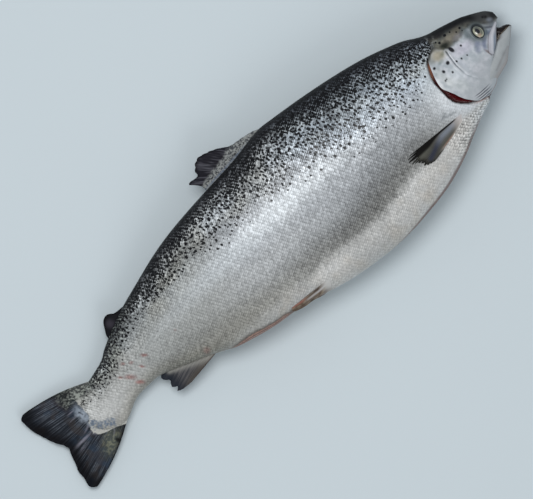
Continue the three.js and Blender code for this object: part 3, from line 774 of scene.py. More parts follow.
def trunk_side(name, side):
    """One half of the trunk. Columns follow x in quarter scales, and rows follow the section's girth
    in quarter scales from its widest height, until the back or the belly line ends them."""
    pitch_at = SCALE_PITCH
    dense = np.linspace(TAIL_X, TRUNK_END_X, 3000)
    count = np.concatenate([[0], np.cumsum(np.diff(dense) / pitch_at((dense[1:] + dense[:-1]) / 2))])
    along = np.append(np.arange(0, count[-1], 1 / PER_SCALE), count[-1])
    x = np.interp(along, count, dense)
    pitch = pitch_at(x)
    halves = []
    for sense in (1, -1):
        angle = sense * np.linspace(0, np.pi / 2, 241)
        section = body.point(x[:, None], angle[None, :])
        steps = np.linalg.norm(np.diff(section, axis=1), axis=-1)
        girth = np.concatenate([np.zeros((len(x), 1)), np.cumsum(steps, 1)], 1) / pitch[:, None]
        halves.append((section, girth))
    reach = [np.ceil(girth[:, -1] * PER_SCALE).astype(int) for _, girth in halves]
    rows = np.arange(-reach[1].max(), reach[0].max() + 1)
    limit = np.clip(rows[None, :], -reach[1][:, None], reach[0][:, None])
    across = rows / PER_SCALE
    points = np.empty((len(x), len(rows), 3))
    for half, chosen in ((0, rows >= 0), (1, rows < 0)):
        section, girth = halves[half]
        for axis in range(3):
            values = [np.interp(np.abs(across[chosen]), g, s) for g, s in zip(girth, section[..., axis])]
            points[:, chosen, axis] = np.array(values)
    to_back = halves[0][1][:, -1][:, None] - across[None, :]
    to_belly = halves[1][1][:, -1][:, None] + across[None, :]
    inside = ease(to_back, 0, 1.5) * ease(to_belly, 0, 1.5)
    slope = np.gradient(points, axis=1)
    outward = unit(np.stack([0 * slope[..., 0], -slope[..., 2], slope[..., 1]], -1))
    px, py = points[..., 0], points[..., 1]
    smooth_front = ease(SHOULDER_LINE(py) - px, 4, 26)
    belly_smooth = 0.35 + 0.65 * ease(py - BELLY_SHADE_LINE(px), -6, 6)
    leaning = along[:, None] - ROW_LEAN * across[None, :]
    bumps = SCALE_RELIEF * (pitch[:, None] / 4.6) * scale_height(leaning, across[None, :])
    lift = bumps * inside * smooth_front * belly_smooth + 0.35 * noise(px, py, 26, 21 + side)
    slit = window(px, -130, -110, 275, 290) * fall(to_belly * pitch[:, None], 0.4, 1.6)
    depth = gill_groove(px, py)
    points = points + outward * (lift * inside - depth)[..., None]
    points[..., 1] += 1.6 * slit
    points[..., 2] = body.mid(px) + side * (points[..., 2] - body.mid(px))
    points = on_table(points)
    paint, zones = trunk_paint(px, py, side)
    index = np.arange(len(x))[:, None] * len(rows) + (limit - rows[0])
    faces, place = grid_faces(len(x), len(rows))
    faces = index.reshape(-1)[faces]
    beyond = 0 if side > 0 else HIDDEN_SHIFT
    scales = np.stack(np.broadcast_arrays(leaning + beyond, across[None, :]), -1)
    return piece(name, points, faces, place, SKIN, "skin", paint, {"scales": scales}, zones, flip=side > 0)


# Head: one shell from the snout to the rear rim of the gill covers and the nape

HEAD_ROWS, HEAD_COLUMNS = 220, 400
EYE_AT = (345.4, 0.8)
EYE_LONG, EYE_TALL, EYE_BULGE, EYE_OUT = 7.1, 9.3, 5.0, 1.7
PREOPERCLE = [(299.8, 9), (298.6, 0), (297.5, -11), (299, -27), (306, -40), (320, -48)]
SUBOPERCLE = [(270, -19), (280, -26), (291, -37), (301, -50)]
MAXILLA_TOP = [(368, -4), (352, -10.9), (342, -20.7), (338, -26.5), (338.5, -31)]
MAXILLA_LOW = [(370, -5.5), (360, -15.5), (352, -24.5), (345, -31), (341, -32.5)]
NOSTRILS = [(361.6, 10.4), (364.2, 8.2)]
FOLD_WAVE = 2 * np.pi / 2.6
# Soft patches of the head's skin: place, half length, half height, turn, colour, strength
HEAD_PATCHES = [
    ((333.5, 3), 5.5, 13, 4, (92, 104, 108), 0.8), ((334.5, -10), 5, 4, 10, (126, 134, 160), 0.65),
    ((330, -15.5), 4, 3, -20, (132, 140, 164), 0.6), ((343, -12.5), 7.5, 3.2, 40, (108, 118, 146), 0.75),
    ((338, -19), 2.4, 5, -30, (128, 136, 162), 0.6), ((353, -7), 7, 3, -30, (84, 102, 132), 0.75),
    ((363.5, -3), 4, 4, 0, (88, 102, 114), 0.7), ((281, -18), 6, 6, 0, (236, 240, 244), 0.6),
    ((310, 1), 9, 5, 0, (214, 212, 224), 0.6), ((321, -3), 9, 6, 0, (212, 210, 224), 0.7),
    ((276, -12), 5, 12, 0, (222, 226, 224), 0.5), ((284, -30), 8, 12, 25, (210, 216, 214), 0.4),
    ((318, -32), 16, 8, 20, (194, 196, 202), 0.5), ((290, -15), 9, 4, 0, (214, 222, 226), 0.5),
    ((304, -16), 3, 8, 0, (208, 212, 222), 0.5), ((305.2, 31.5), 10, 4.5, -8, (38, 36, 40), 0.8),
    ((326.4, 28), 5, 2.8, -20, (40, 38, 40), 0.7), ((293, 29), 7, 4, -10, (150, 148, 130), 0.6),
    ((313, 18), 9, 5, 0, (158, 150, 136), 0.6), ((322, 13), 6, 3.5, 0, (146, 142, 148), 0.5),
    ((326, 20), 6, 4, 0, (118, 112, 100), 0.5), ((288.5, 20.5), 6, 3, -14, (84, 86, 86), 0.9),
    ((288.5, 12.1), 10.5, 6, -16, (176, 168, 148), 0.9), ((303.4, 15.6), 7, 4.4, -10, (38, 42, 38), 0.97),
    ((299.6, 10.4), 2.0, 4.5, -8, (84, 88, 76), 0.8), ((295, 9.5), 5, 2, 0, (124, 132, 112), 0.5),
    ((286, 4.5), 4, 2, 0, (138, 152, 150), 0.6), ((276, 14), 7, 6, 30, (132, 140, 140), 0.6),
    ((275, -3), 6, 8, 0, (176, 184, 186), 0.6), ((294, -20), 9, 7, 0, (226, 232, 238), 0.6),
    ((302, -4), 4, 8, 0, (204, 210, 218), 0.6), ((352, 12), 9, 6, -20, (52, 54, 56), 0.7),
]
# Black spots of the head: x, y, half length, half height
HEAD_SPOTS = [
    (287.8, 25.6, 1.5, 1.2), (298.1, 25.8, 1.4, 1.3), (301.1, 21.9, 1.6, 1.7), (312.2, 24.7, 2.0, 1.9),
    (319.3, 23.5, 1.2, 1.1), (331.6, 19.4, 1.5, 1.4), (325.1, 18.4, 1.1, 1.0), (331.6, 14.9, 0.8, 0.8),
    (275.3, 4.0, 1.9, 1.7), (292.0, -1.9, 2.4, 2.3), (306.2, 6.9, 2.5, 4.3), (318.1, 2.8, 1.3, 1.5),
    (281.0, -6.3, 1.8, 2.2), (301.3, -7.7, 1.2, 1.6), (308.1, -9.3, 1.2, 1.2), (316.0, -10.9, 1.0, 1.2),
    (288.8, -14.0, 1.5, 1.4), (276.2, -15.4, 2.6, 1.0),
]
# Lower edge of the olive crown, as y for a given x
CROWN_LINE = through([
    (280, 26), (286, 23.5), (292, 19), (301, 10.5), (310, 9.6), (320, 8.6), (329, 10.6), (337, 12.5),
    (347, 10), (356, 3), (365, -2), (375, -4),
])


def throat_folds(x, y):
    """The folds of the throat, curved lines one above the other in a patch: 1 in their furrows, and 1
    between them."""
    rise = y - 0.007 * (x - 302) ** 2
    patch = window(x, 286, 294, 302, 315) * ease(rise, -64.5, -62) * fall(rise, -54.5, -52)
    wave = 0.5 - 0.5 * np.cos(FOLD_WAVE * (rise + 52.9))
    return patch * wave, patch * (1 - wave)


def from_eye(x, y):
    """Distance from the eye's centre, 1 at its rim."""
    return np.hypot((x - EYE_AT[0]) / EYE_LONG, (y - EYE_AT[1]) / EYE_TALL)


def head_relief(x, y):
    """Outward relief of the head: ridges and creases as soft humps about their paths."""
    crease, along = from_path(x, y, PREOPERCLE)
    relief = -0.55 * bell(crease, 0.8) * ease(1 - along, 0.0, 0.3) + 0.35 * bell(crease - 2.2, 1.6)
    under, _ = from_path(x, y, SUBOPERCLE)
    relief -= 0.22 * bell(under, 1.4)
    relief -= 0.3 * throat_folds(x, y)[0]
    ring = from_eye(x, y)
    relief -= 1.9 * fall(ring, 0.75, 1.1)
    relief += 0.5 * bell(ring - 1.22, 0.16)
    plate, along = from_path(x, y, MAXILLA_TOP)
    relief -= 0.5 * bell(plate, 1.2) * ease(along, 0.1, 0.4)
    for hole_x, hole_y in NOSTRILS:
        relief -= bell(np.hypot(x - hole_x, y - hole_y), 1.1)
    relief += 0.12 * noise(x, y, 6, 31) + 0.25 * noise(x, y, 17, 32)
    return relief


def head_paint(x, y, angle):
    """Painted colour of the head at (x, y)."""
    wander = noise(x, y, 9, 33) * 1.4 + noise(x, y, 3.5, 34) * 0.8
    grain = ease(noise(x, y, 5, 37), -0.5, 0.7)
    fleck = noise(x, y, 2.4, 38)
    paint = Paint(x, y, (186, 194, 200), (212, 216, 222), grain)
    paint.over((184, 189, 193), ease(-y, 22, 52) * 0.75)
    rise = y - CROWN_LINE(x) + wander
    below_outline = body.top(x) - y + 0.8 * wander
    olive = mix((128, 127, 116), (98, 102, 100), ease(noise(x, y, 6, 36), -0.3, 0.5))
    olive = olive * (1 + 0.3 * fleck)[..., None]
    paint.over(olive, ease(rise, -2.5, 2.5) * ease(x, 276, 292))
    paint.over((48, 50, 52), fall(below_outline, 4, 23) * ease(rise, -2, 6) * ease(x, 296, 308))
    for place, wide, tall, turn, patch, strength in HEAD_PATCHES:
        worn = blot(x + wander, y + 0.7 * wander, place, wide, tall, turn, 0.7)
        paint.over(colour(*patch) * (0.9 + 0.2 * grain)[..., None], worn * strength)
    speckled = mix((36, 37, 42), (134, 136, 138), ease(fleck, -0.15, 0.5))
    paint.over(speckled, fall(x, 292, 306) * ease(y + 0.5 * wander, 20, 27) * 0.85)
    paint.over((16, 16, 19), fall(below_outline, 2.5, 11) * ease(x, 284, 296) * 0.95)
    snout = ease(x, 348, 360) * ease(y, -9, 1)
    paint.over((74, 75, 76), snout * 0.7)
    paint.over((34, 33, 35), ease(x - 0.25 * y, 364, 371) * ease(y, -5, 3) * 0.8)
    # A painted highlight on the snout
    paint.patch((132, 138, 148), 0.7, (365, 2.5), 3.4, 2.2, -30, 0.8)
    paint.patch((40, 48, 66), 0.7, (357.5, -3.5), 6.5, 1.5, -38, 0.7)
    ring = from_eye(x, y)
    # The dark ring round the eye widens on its upper side as a painted shadow of the lid
    lid_shadow = ease(y - EYE_AT[1] + 0.5 * (x - EYE_AT[0]), -4, 5)
    paint.over((88, 98, 100), 0.75 * bell(ring - 1.12, 0.3))
    paint.over((32, 37, 42), 0.85 * fall(ring, 0.88 + 0.14 * lid_shadow, 1.06 + 0.22 * lid_shadow))
    # Painted shade in the preopercle's crease and a painted highlight on the ridges beside it
    crease, along = from_path(x, y, PREOPERCLE)
    paint.over((70, 78, 88), 0.85 * bell(crease, 0.9) * ease(1 - along, 0.3, 0.65))
    paint.over((206, 208, 212), 0.6 * bell(crease - 2.2, 1.2) * ease(1 - along, 0.3, 0.6))
    # A painted shadow along the upper edge of the maxilla
    lip, along = from_path(x, y, MAXILLA_TOP)
    paint.over((104, 98, 108), 0.6 * bell(lip, 1.0) * ease(along, 0.1, 0.3))
    paint.patch((116, 92, 88), 0.7, (337.4, -25.5), 1.3, 4.5, 14, 0.8)
    for spot_x, spot_y, wide, tall in HEAD_SPOTS:
        paint.over((14, 16, 24), blot(x + 0.2 * wander, y, (spot_x, spot_y), wide, tall, 15, 0.3) * 0.97)
    # Painted shade in the nostrils
    for hole_x, hole_y in NOSTRILS:
        paint.over((22, 23, 26), 0.95 * bell(np.hypot(x - hole_x, y - hole_y), 1.9))
    rim = x - COVER_LINE(y)
    # A painted shadow in the gap under the cover's rim, high up
    rim_gap_shadow = fall(rim, 1.5, 5) * ease(y, 12, 17) * fall(y, 21, 26)
    paint.over((66, 68, 64), 0.85 * rim_gap_shadow)
    # A painted highlight along the lower part of the cover's rim
    rim_highlight = fall(rim, 1.5, 5) * fall(y, -10, -4) * ease(y, -34, -22)
    paint.over((238, 242, 242), 0.75 * rim_highlight * (0.6 + 0.4 * grain))
    # Throat folds: painted shade in their furrows and a painted highlight between them
    folds, between = throat_folds(x, y)
    paint.over((224, 226, 230), 0.6 * between)
    paint.over((66, 70, 82), 0.9 * folds)
    above_throat = y - body.bottom(x)
    paint.over((132, 106, 102), 0.7 * fall(above_throat, 0.4, 2.0) * fall(x, 325, 345))
    paint.patch((58, 18, 22), 0.9, (303.4, -65.6), 2.4, 2.2, 0, 0.6)
    # Dark inside the mouth, partly the palate's own colour and partly painted shade
    palate_and_shade = ease(-np.sin(angle), 0.93, 0.985) * ease(x, 342, 350)
    return paint.over((26, 14, 16), palate_and_shade)


def head_shell():
    """From the snout's tip to the rim, x runs in the same shares for each angle. The rim's x is found by
    steps towards COVER_LINE. Past it the shell turns in, so that the cover has a rolled edge, and runs
    back under the skin of the trunk."""
    angle = np.linspace(0, 2 * np.pi, HEAD_COLUMNS, endpoint=False)
    rim = np.full(len(angle), 285.0)
    for _ in range(60):
        rim = 0.7 * rim + 0.3 * COVER_LINE(body.point(rim, angle)[..., 1])
    share = np.linspace(0, 1, HEAD_ROWS)
    x = NOSE_X + (rim[None, :] - NOSE_X) * share[:, None] ** 0.92
    points = body.point(x, angle[None, :])
    normals = -grid_normals(points)
    from_rim = x - rim[None, :]
    y = points[..., 1]
    open_part = window(y, -69, -58, 20, 30)
    lift = (0.1 + 2.4 * open_part) * bell(from_rim, 26) + head_relief(x, y) * ease(from_rim, 0, 6)
    lift *= ease(share[:, None], 0.0, 0.04)
    shell = points + normals * lift[..., None]
    edge, turn = shell[-1], normals[-1]
    rolled = ((0.35, -0.35), (1.1, -0.3), (1.7, 0.8))
    inward = [edge - turn * sunk + [ahead, 0, 0] for sunk, ahead in rolled]
    for run, sunk in ((5, 2.6), (14, 4.5)):
        inward.append(body.point(rim + run, angle) + turn * (lift[-1] - sunk)[:, None])
    paint = head_paint(x, y, angle[None, :] + 0 * x)
    inner = np.repeat(mix(paint[-1:], (140, 110, 104), 0.5 * open_part[-1:]), len(inward), 0)
    tip = np.broadcast_to(shell[:1].mean(1, keepdims=True), shell[:1].shape)
    shell = on_table(np.concatenate([tip, shell, inward], 0))
    paint = np.concatenate([paint[:1], paint, inner], 0)
    return piece("head", shell, *grid_faces(*shell.shape[:2], closed=True), HEAD, "head", paint)


def closed_loft(name, loft, start, end, rows, columns, material, slot, relief, painter):
    """A loft with closed ends, whose rows lie closer together towards the end."""
    angle = np.linspace(0, 2 * np.pi, columns, endpoint=False)[None, :]
    share = np.linspace(0, 1, rows)[:, None]
    x = start + (end - start) * (1 - (1 - share) ** 1.6)
    points = loft.point(x, angle)
    lift = relief(points[..., 0], points[..., 1], angle)[..., None]
    points = points + grid_normals(points) * lift * ease(share, 0, 0.05)[..., None]
    paint = painter(points[..., 0], points[..., 1], angle)
    points, paint = capped(points, paint)
    faces, place = grid_faces(*points.shape[:2], closed=True)
    return piece(name, on_table(points), faces, place, material, slot, paint, flip=True)


JAW_CREASE = [(359, -36.8), (350.5, -39.8), (340, -44.5), (330, -48.6)]


def jaw_relief(x, y, angle):
    """A hollow of 0.3 mm along the crease, and a slight unevenness."""
    crease, _ = from_path(x, y, JAW_CREASE)
    return -0.3 * bell(crease, 1.6) + 0.1 * noise(x, y, 5, 41)


def jaw_paint(x, y, angle):
    """Pale sides, a dark top between the lips, partly the gums' colour and partly painted shade inside the
    mouth, and a pinkish skin under the crease.
    """
    base = colour(176, 181, 183) * (1 + 0.07 * noise(x, y, 8, 42)[..., None])
    crease, _ = from_path(x, y, JAW_CREASE)
    # A grey line along the jaw's crease, painted shade
    paint = Paint(x, y, base, (132, 126, 128), 0.4 * bell(crease, 1.2))
    under = ease(jaw.bottom(x) + 6.5 - y, 0, 5) * ease(366 - x, 0, 20)
    paint.over((178, 166, 162), under * 0.6)
    edge = ease(jaw.bottom(x) + 1.8 - y, 0, 1.6)
    paint.over((124, 106, 102), edge * 0.6)
    # The dark top between the lips, partly the gums' colour and partly painted shade inside the mouth
    gum_and_shade = ease(np.sin(angle), 0.80, 0.93) * ease(x, 352, 357)
    paint.over((24, 15, 17), gum_and_shade)
    paint.patch((58, 44, 44), 0.75, (355, -21), 6, 2.4, -14, 0.8)
    return paint.patch((56, 48, 50), 0.8, (379.5, -19.5), 1.8, 1.4, 0, 0.6)


def tongue_paint(x, y, angle):
    """A dark brown, lighter and darker by a fine noise."""
    return colour(26, 18, 18) * (1 + 0.4 * noise(x, y, 2.5, 43)[..., None])


def tongue_relief(x, y, angle):
    """A fine noise of 0.6 mm."""
    return 0.6 * noise(x, y + 9 * angle, 2.2, 44)


def plate(name, path_a, path_b, rows, columns, side, rise, sink, material, slot, painter):
    """A closed plate lying on the skin between two paths: its outer face stands off by rise(s, t)."""
    s, t = shares(rows, columns)
    x, y = between(path_a, path_b, s, t)
    base, normal = body.skin(x, y, side), body.skin_normal(x, y, side)
    upper = base + normal * rise(s, t)[..., None]
    lower = base - normal * sink
    points = on_table(np.concatenate([upper, lower[:, ::-1]], 1))
    paint = painter(x, y, s + 0 * t, t + 0 * s)
    paint = np.concatenate([paint, paint[:, ::-1]], 1)
    return tube(name, *capped(points, paint), material, slot)


def path_point(path, share):
    """Point at a share of the length of a smooth curve through the path's points."""
    path = np.array(path, float)
    run = np.concatenate([[0], np.cumsum(np.linalg.norm(np.diff(path, axis=0), axis=1))])
    at = share * run[-1]
    return through(np.stack([run, path[:, 0]], 1))(at), through(np.stack([run, path[:, 1]], 1))(at)


def between(path_a, path_b, s, t, lean=1.0):
    """The point t of the way from path a at s^lean to path b at s."""
    ax, ay = path_point(path_a, s ** lean)
    bx, by = path_point(path_b, s)
    return ax + (bx - ax) * t, ay + (by - ay) * t


def maxilla_rise(s, t):
    """0.35 mm at the edges and ends, and 1.6 mm along the middle."""
    return 0.35 + 1.25 * np.sin(np.pi * t) ** 0.6 * np.sin(np.pi * s) ** 0.3


def maxilla_paint(x, y, s, t):
    """Silver with a pale ridge, a painted highlight, a bluish hollow beside it and darker edges, painted
    shade where the plate turns down.
    """
    base = colour(182, 184, 192) * (1 + 0.06 * noise(x, y, 5, 45)[..., None])
    # The pale ridge is a painted highlight
    paint = Paint(x, y, base, (218, 219, 226), 0.8 * bell(t - 0.4, 0.18))
    inner = bell(t - 0.68, 0.13) * ease(s, 0.25, 0.5) * fall(s, 0.8, 0.95)
    paint.over((126, 144, 164), 0.8 * inner)
    # Darker edges, painted shade where the plate turns down
    return paint.over((150, 148, 154), 0.7 * (ease(t, 0.88, 1) + ease(0.1 - t, 0, 0.1)))


def eyeball(name, side):
    """A flat dome square to the skin: height = out - bulge + bulge * sqrt(1 - r^2)."""
    centre = body.skin(*EYE_AT, side)
    normal = body.skin_normal(*EYE_AT, side)
    along = unit(np.cross([0, 1.0, 0], normal)) * side
    up = np.cross(normal, along) * side
    r = np.sin(np.linspace(0, np.pi / 2, 60))[:, None]
    a = np.linspace(0, 2 * np.pi, 120, endpoint=False)[None, :]
    across, tall = EYE_LONG * r * np.cos(a), EYE_TALL * r * np.sin(a)
    height = EYE_OUT - EYE_BULGE + EYE_BULGE * np.sqrt(np.maximum(1 - r * r, 0)) + 0 * a
    points = centre + along * across[..., None] + up * tall[..., None] + normal * height[..., None]
    pupil = np.hypot((across + 0.8 + 0.12 * np.maximum(-tall, 0)) / 2.5, (tall - 1.0) / 3.6)
    visible = np.hypot(across / 5.95, tall / 8.1)
    ripple = 1 + 0.08 * np.sin(23 * a) + 0.06 * np.sin(41 * a + 1)
    iris = colour(120, 122, 110) * ripple[..., None]
    paint = Paint(across, tall, iris, (88, 92, 84), 0.6 * bell(visible - 0.6, 0.08))
    paint.over((194, 196, 170), 0.85 * bell(visible - 0.84, 0.1))
    paint.patch((206, 200, 176), 0.7, (-2.9, 0.5), 1.0, 3.4, 0, 0.6)
    paint.patch((188, 158, 138), 0.6, (-2.6, -4.6), 2.4, 1.8, 0, 0.8)
    # A painted shadow of the lid over the top of the eye
    paint.over((72, 78, 78), 0.75 * ease(tall + 0.45 * across, 3.0, 6.5))
    paint.over((28, 33, 40), ease(visible, 0.93, 1.03))
    paint.over((10, 13, 28), fall(pupil, 0.85, 1.15))
    faces, place = grid_faces(*across.shape, closed=True)
    corner = points.reshape(-1, 3)[faces[len(faces) // 3]]
    inward = np.cross(corner[1] - corner[0], corner[2] - corner[0]) @ normal < 0
    return piece(name, points, faces, place, EYE_MATERIAL, "eye", paint.colour, flip=inward)


def gill_comb(name, side):
    """Gill filaments: a band down the gill opening whose height ripples along it like a comb."""
    s, t = shares(*COMB_GRID)
    y = 6 - 66 * s
    x = SHOULDER_LINE(y) - 1 + 15 * t
    base, normal = body.skin(x, y + 0 * t, side), body.skin_normal(x, y + 0 * t, side)
    ripple = 0.5 + 0.5 * np.cos(2 * np.pi * 62 * s + 1.5 * np.sin(9 * s))
    height = -GILL_DEPTH + 1.2 + 2.2 * np.sin(np.pi * t) + 0.9 * ripple * ease(t, 0.1, 0.3)
    points = base + normal * height[..., None]
    # The gills' red, darker between the filaments and at their base, partly as painted shade
    paint = mix((44, 4, 8), (104, 14, 20), ripple * ease(t, 0.15, 0.5))
    return piece(name, on_table(points), *grid_faces(*COMB_GRID), MOUTH, "mouth", paint, flip=side > 0)


def teeth(name, places, line, half, lean):
    """Small cones in a row on each side of a jaw, with six sides each."""
    rng = np.random.default_rng(7)
    x = np.repeat(places, 2)
    side = np.tile((1, -1), len(places))
    height = rng.uniform(1.3, 2.2, len(x))
    root = np.stack([x, line(x), body.mid(x) + side * half(x)], -1)[:, None]
    rise = np.stack([0.3 * lean * height, lean * height, -0.2 * side * height], -1)[:, None]
    a = np.linspace(0, 2 * np.pi, 6, endpoint=False)
    ring = np.stack([np.cos(a), 0 * a, np.sin(a)], -1) * 0.6
    rows = [root + ring - [0, lean * 0.8, 0], root + ring * 0.75 + rise * 0.5, root + rise + ring * 0.08]
    faces, place = grid_faces(3, 6, closed=True)
    faces = (faces[None] + 18 * np.arange(len(x))[:, None, None]).reshape(-1, 4)
    if lean > 0:
        faces = faces[:, ::-1]
    points = np.stack(rows, 1)
    paint = np.broadcast_to(colour(150, 138, 120), points.shape)
    place = np.tile(place, (len(x), 1, 1))
    return piece(name, points, faces, place, TOOTH, "mouth", paint)


# Fins


def comb(s, count):
    """A cosine ripple from 0 to 1, with a crest at each of count steps."""
    return 0.5 + 0.5 * np.cos(2 * np.pi * count * s)


def split_rays(s, t, count, low, high):
    """Rays as cosine ridges, each of which splits in two between t = low and t = high."""
    return comb(s, count) * fall(t, low, high) + comb(s, 2 * count) * ease(t, low, high)


def folded(outer, inner):
    """Two grids joined at their last columns."""
    return np.concatenate([outer, inner[:, -2::-1]], 1)


def fin(name, root, rim, rows, columns, thick, droop, wave, rays, painter, swell=0.0, fray=0.0, lean=1.0):
    """A thin closed fin in the plane of symmetry. At s along the rim, s^lean along the root, and t out
    to the rim it is thick[0] to thick[1] deep, sags by droop * t^2, waves by wave * t * sin(5 pi s), and
    carries rays. The rim is cut between the rays by fray, and bulges by swell."""
    s, out = shares(rows, columns)
    gap = fray * (1 - comb(s, rays)) ** 1.5 + 0.006 * noise(s * rays, 0 * s, 1, 52)
    t = out * (1 - gap * ease(out, 0.3, 1)) + 0 * s
    x, y = between(root, rim, s, t, lean)
    y = y + swell * np.sin(np.pi * t) * signed_power(1 - 2 * s, 3)
    ray = split_rays(s, t, rays, 0.35, 0.65)
    ends = (1 - np.abs(2 * s - 1) ** 14) ** 0.5
    deep = (thick[0] + (thick[1] - thick[0]) * t ** 0.6) * ends * (1 - out ** 16) ** 0.5
    deep = deep * (0.78 + 0.35 * ray)
    level = body.mid(x) - droop * t * t + wave * t * np.sin(5 * np.pi * s)
    faces_apart = [np.stack([x, y, level + sense * deep / 2], -1) for sense in (1, -1)]
    paint = painter(x, y, s + 0 * t, t, ray)
    return tube(name, on_table(folded(*faces_apart)), folded(paint, paint), FIN, "fin")


def caudal_paint(x, y, s, t, ray):
    """Bluish charcoal, black at the margin, with pale streaks along the middle rays, speckled skin over
    the upper root and an olive lower root."""
    streak = ease(noise(s * 120, t * 4, 1, 61), -0.3, 0.7)
    streak = streak * (0.6 + 0.4 * ease(noise(x, y, 1.5, 74), -0.4, 0.4))
    paint = Paint(x, y, (35, 39, 46), (122, 129, 140), 0.65 * (0.4 + 0.6 * ray) * streak)
    paint.over((54, 70, 88), 0.5 * ease(noise(x, y, 13, 65), 0.0, 0.6))
    paint.over((62, 56, 54), 0.5 * ease(noise(x, y, 11, 75), 0.1, 0.6))
    paint.patch((42, 34, 40), 0.6, (-334, 14), 4, 15, 8, 0.6)
    wave = noise(x * 0.25, y, 1.6, 67)
    for *ellipse, strength in PALE_STREAKS:
        paint.over((168, 166, 180), blot(x, y + 0.8 * wave, *ellipse, 0.9) * strength)
    olive = blot(x, y, (-317, -60), 16, 10, 25, 0.8)
    moss = mix((84, 90, 84), (128, 130, 112), ease(noise(x, y, 2.5, 68), -0.2, 0.5))
    paint.over(moss, olive * 0.85)
    paint.patch((20, 22, 20), 0.85, (-311, -63), 2.2, 3.2, 20)
    paint.over((22, 23, 24), bell(s - 1, 0.06) * ease(x, -330, -310) * 0.8)
    dark_tips = ease(t, 0.76, 0.95) + bell(s, 0.025) + bell(1 - s, 0.025)
    paint.over((9, 9, 13), np.minimum(dark_tips, 1) * 0.9)
    return tail_end(x, y, paint.colour, colour(188, 188, 183) * (1 + 0.1 * wave[..., None]))


def dorsal_paint(x, y, s, t, ray):
    """A pale blue line along the base, then a beige band with short black dashes, then charcoal."""
    above_base = y - DORSAL_BASE(x)
    rough = noise(x, y, 3, 69)
    mottled = ease(0.4 * rough + 0.9 * noise(x, y, 1.3, 76), -0.4, 0.6)
    paint = Paint(x, y, (156, 159, 157), (76, 79, 83), mottled)
    for dash_x, dash_y, wide, tall in DORSAL_DASHES:
        paint.over((22, 22, 22), blot(x + rough, y, (dash_x, dash_y), wide, tall, 6, 0.4) * 0.9)
    upper = ease(above_base + 1.5 * rough - DORSAL_BEIGE(x), -2.5, 3.5)
    streak = ease(noise(s * 60, t * 3, 1, 70), -0.2, 0.5)
    dark = mix((34, 33, 40), (98, 98, 106), (0.35 + 0.4 * ray) * streak)
    paint.over(dark, upper)
    blue = bell(above_base + 0.2 + 0.5 * rough, 1.3) * fall(x, 30, 60) * (0.6 + 0.3 * rough)
    paint.over((104, 118, 140), blue)
    paint.over((50, 50, 50), fall(above_base, -3.2, -1.6))
    return paint.over((20, 20, 24), ease(t, 0.88, 1.0) * 0.8 * ease(62 - x, 0, 30))


def adipose_paint(x, y, s, t, ray):
    """Near black with a greyer patch, and darkest at the rim."""
    patch = blot(x, y, (-222, 46), 4.5, 5.5, 30, 0.9) * 0.55
    paint = Paint(x, y, (26, 26, 30), (76, 72, 82), patch)
    return paint.over((12, 12, 15), ease(t, 0.7, 1) * 0.85)


def anal_paint(x, y, s, t, ray):
    """Grey, bluish black at the rear tips, with a beige ridge along the base and a brown lower edge."""
    share = 0.4 * ray + 0.5 * ease(noise(s * 40, t * 2, 1, 77), -0.2, 0.5)
    paint = Paint(x, y, (56, 58, 64), (106, 104, 104), share)
    paint.over((84, 78, 70), fall(s, 0.1, 0.4) * 0.6)
    paint.over((34, 40, 50), ease(-x, 198, 214) * 0.85)
    skin = ease(x + 0.6 * (y + 60), -178, -150)
    paint.over((162, 160, 154), skin * 0.9)
    ridge, along = from_path(x, y, [(-209, -45), (-190, -52.5), (-170, -60.5), (-150, -66)])
    paint.over((164, 163, 157), bell(ridge, 3.0 + 4.5 * along) * 0.7)
    return paint.over((60, 44, 36), bell(s, 0.05) * 0.8 * fall(-x, 206, 216))


PECTORAL_ROOT = [(268, -58), (264, -62), (259, -66)]
PECTORAL_RIM = [
    (181, -52.2), (176, -56.5), (176.3, -61.5), (182, -65), (186.5, -69), (187, -73.5), (193, -76.5),
    (200, -77.5), (206, -76),
]
PELVIC_ROOT = [(9, -94.5), (8, -100), (3, -106.5)]
PELVIC_RIM = [(-48, -89.5), (-50, -92.5), (-47, -96)]


def paired_fin(name, root, rim, rows, columns, side, rise, rays, fray, painter):
    """A fin laid back on the skin: its outer face stands off by rise(s, t), its rays by a third of a
    millimetre more, and its inner face follows the skin. fray(s) cuts the rim between the rays."""
    s, out = shares(rows, columns)
    t = out * (1 - fray(s) * (1 - comb(s, rays)) ** 1.5 * ease(out, 0.5, 1)) + 0 * s
    x, y = between(root, rim, s, t)
    ray = split_rays(s, t, rays, 0.4, 0.7)
    edge = (1 - np.abs(2 * s - 1) ** 10) ** 0.5 * (1 - out ** 20) ** 0.5
    base, normal = body.skin(x, y, side), body.skin_normal(x, y, side)
    lift = rise(s, t)
    upper = base + normal * ((lift + 0.35 * ray * ease(t, 0, 0.3)) * (0.25 + 0.75 * edge))[..., None]
    lower = base + normal * (0.25 * t * lift - 0.6 * (1 - t))[..., None]
    paint = painter(x, y, s + 0 * t, t, ray, trunk_paint(x, y, side)[0])
    return tube(name, on_table(folded(upper, lower)), folded(paint, paint), FIN, "fin")


def pectoral_rise(s, t):
    """0.1 mm at the root and 1.0 + 1.3t past it, less by up to three quarters near s = 1 below t = 0.8."""
    return 0.1 + (1.0 + 1.3 * t) * ease(t, 0, 0.3) * (1 - 0.75 * ease(s, 0.7, 0.95) * fall(t, 0.6, 0.8))


def pelvic_rise(s, t):
    """0.1 mm at the root, 2.0 mm past it and 0.9 mm at the rim."""
    return 0.1 + 1.9 * ease(t, 0.0, 0.35) * (1 - 0.6 * ease(t, 0.7, 1))


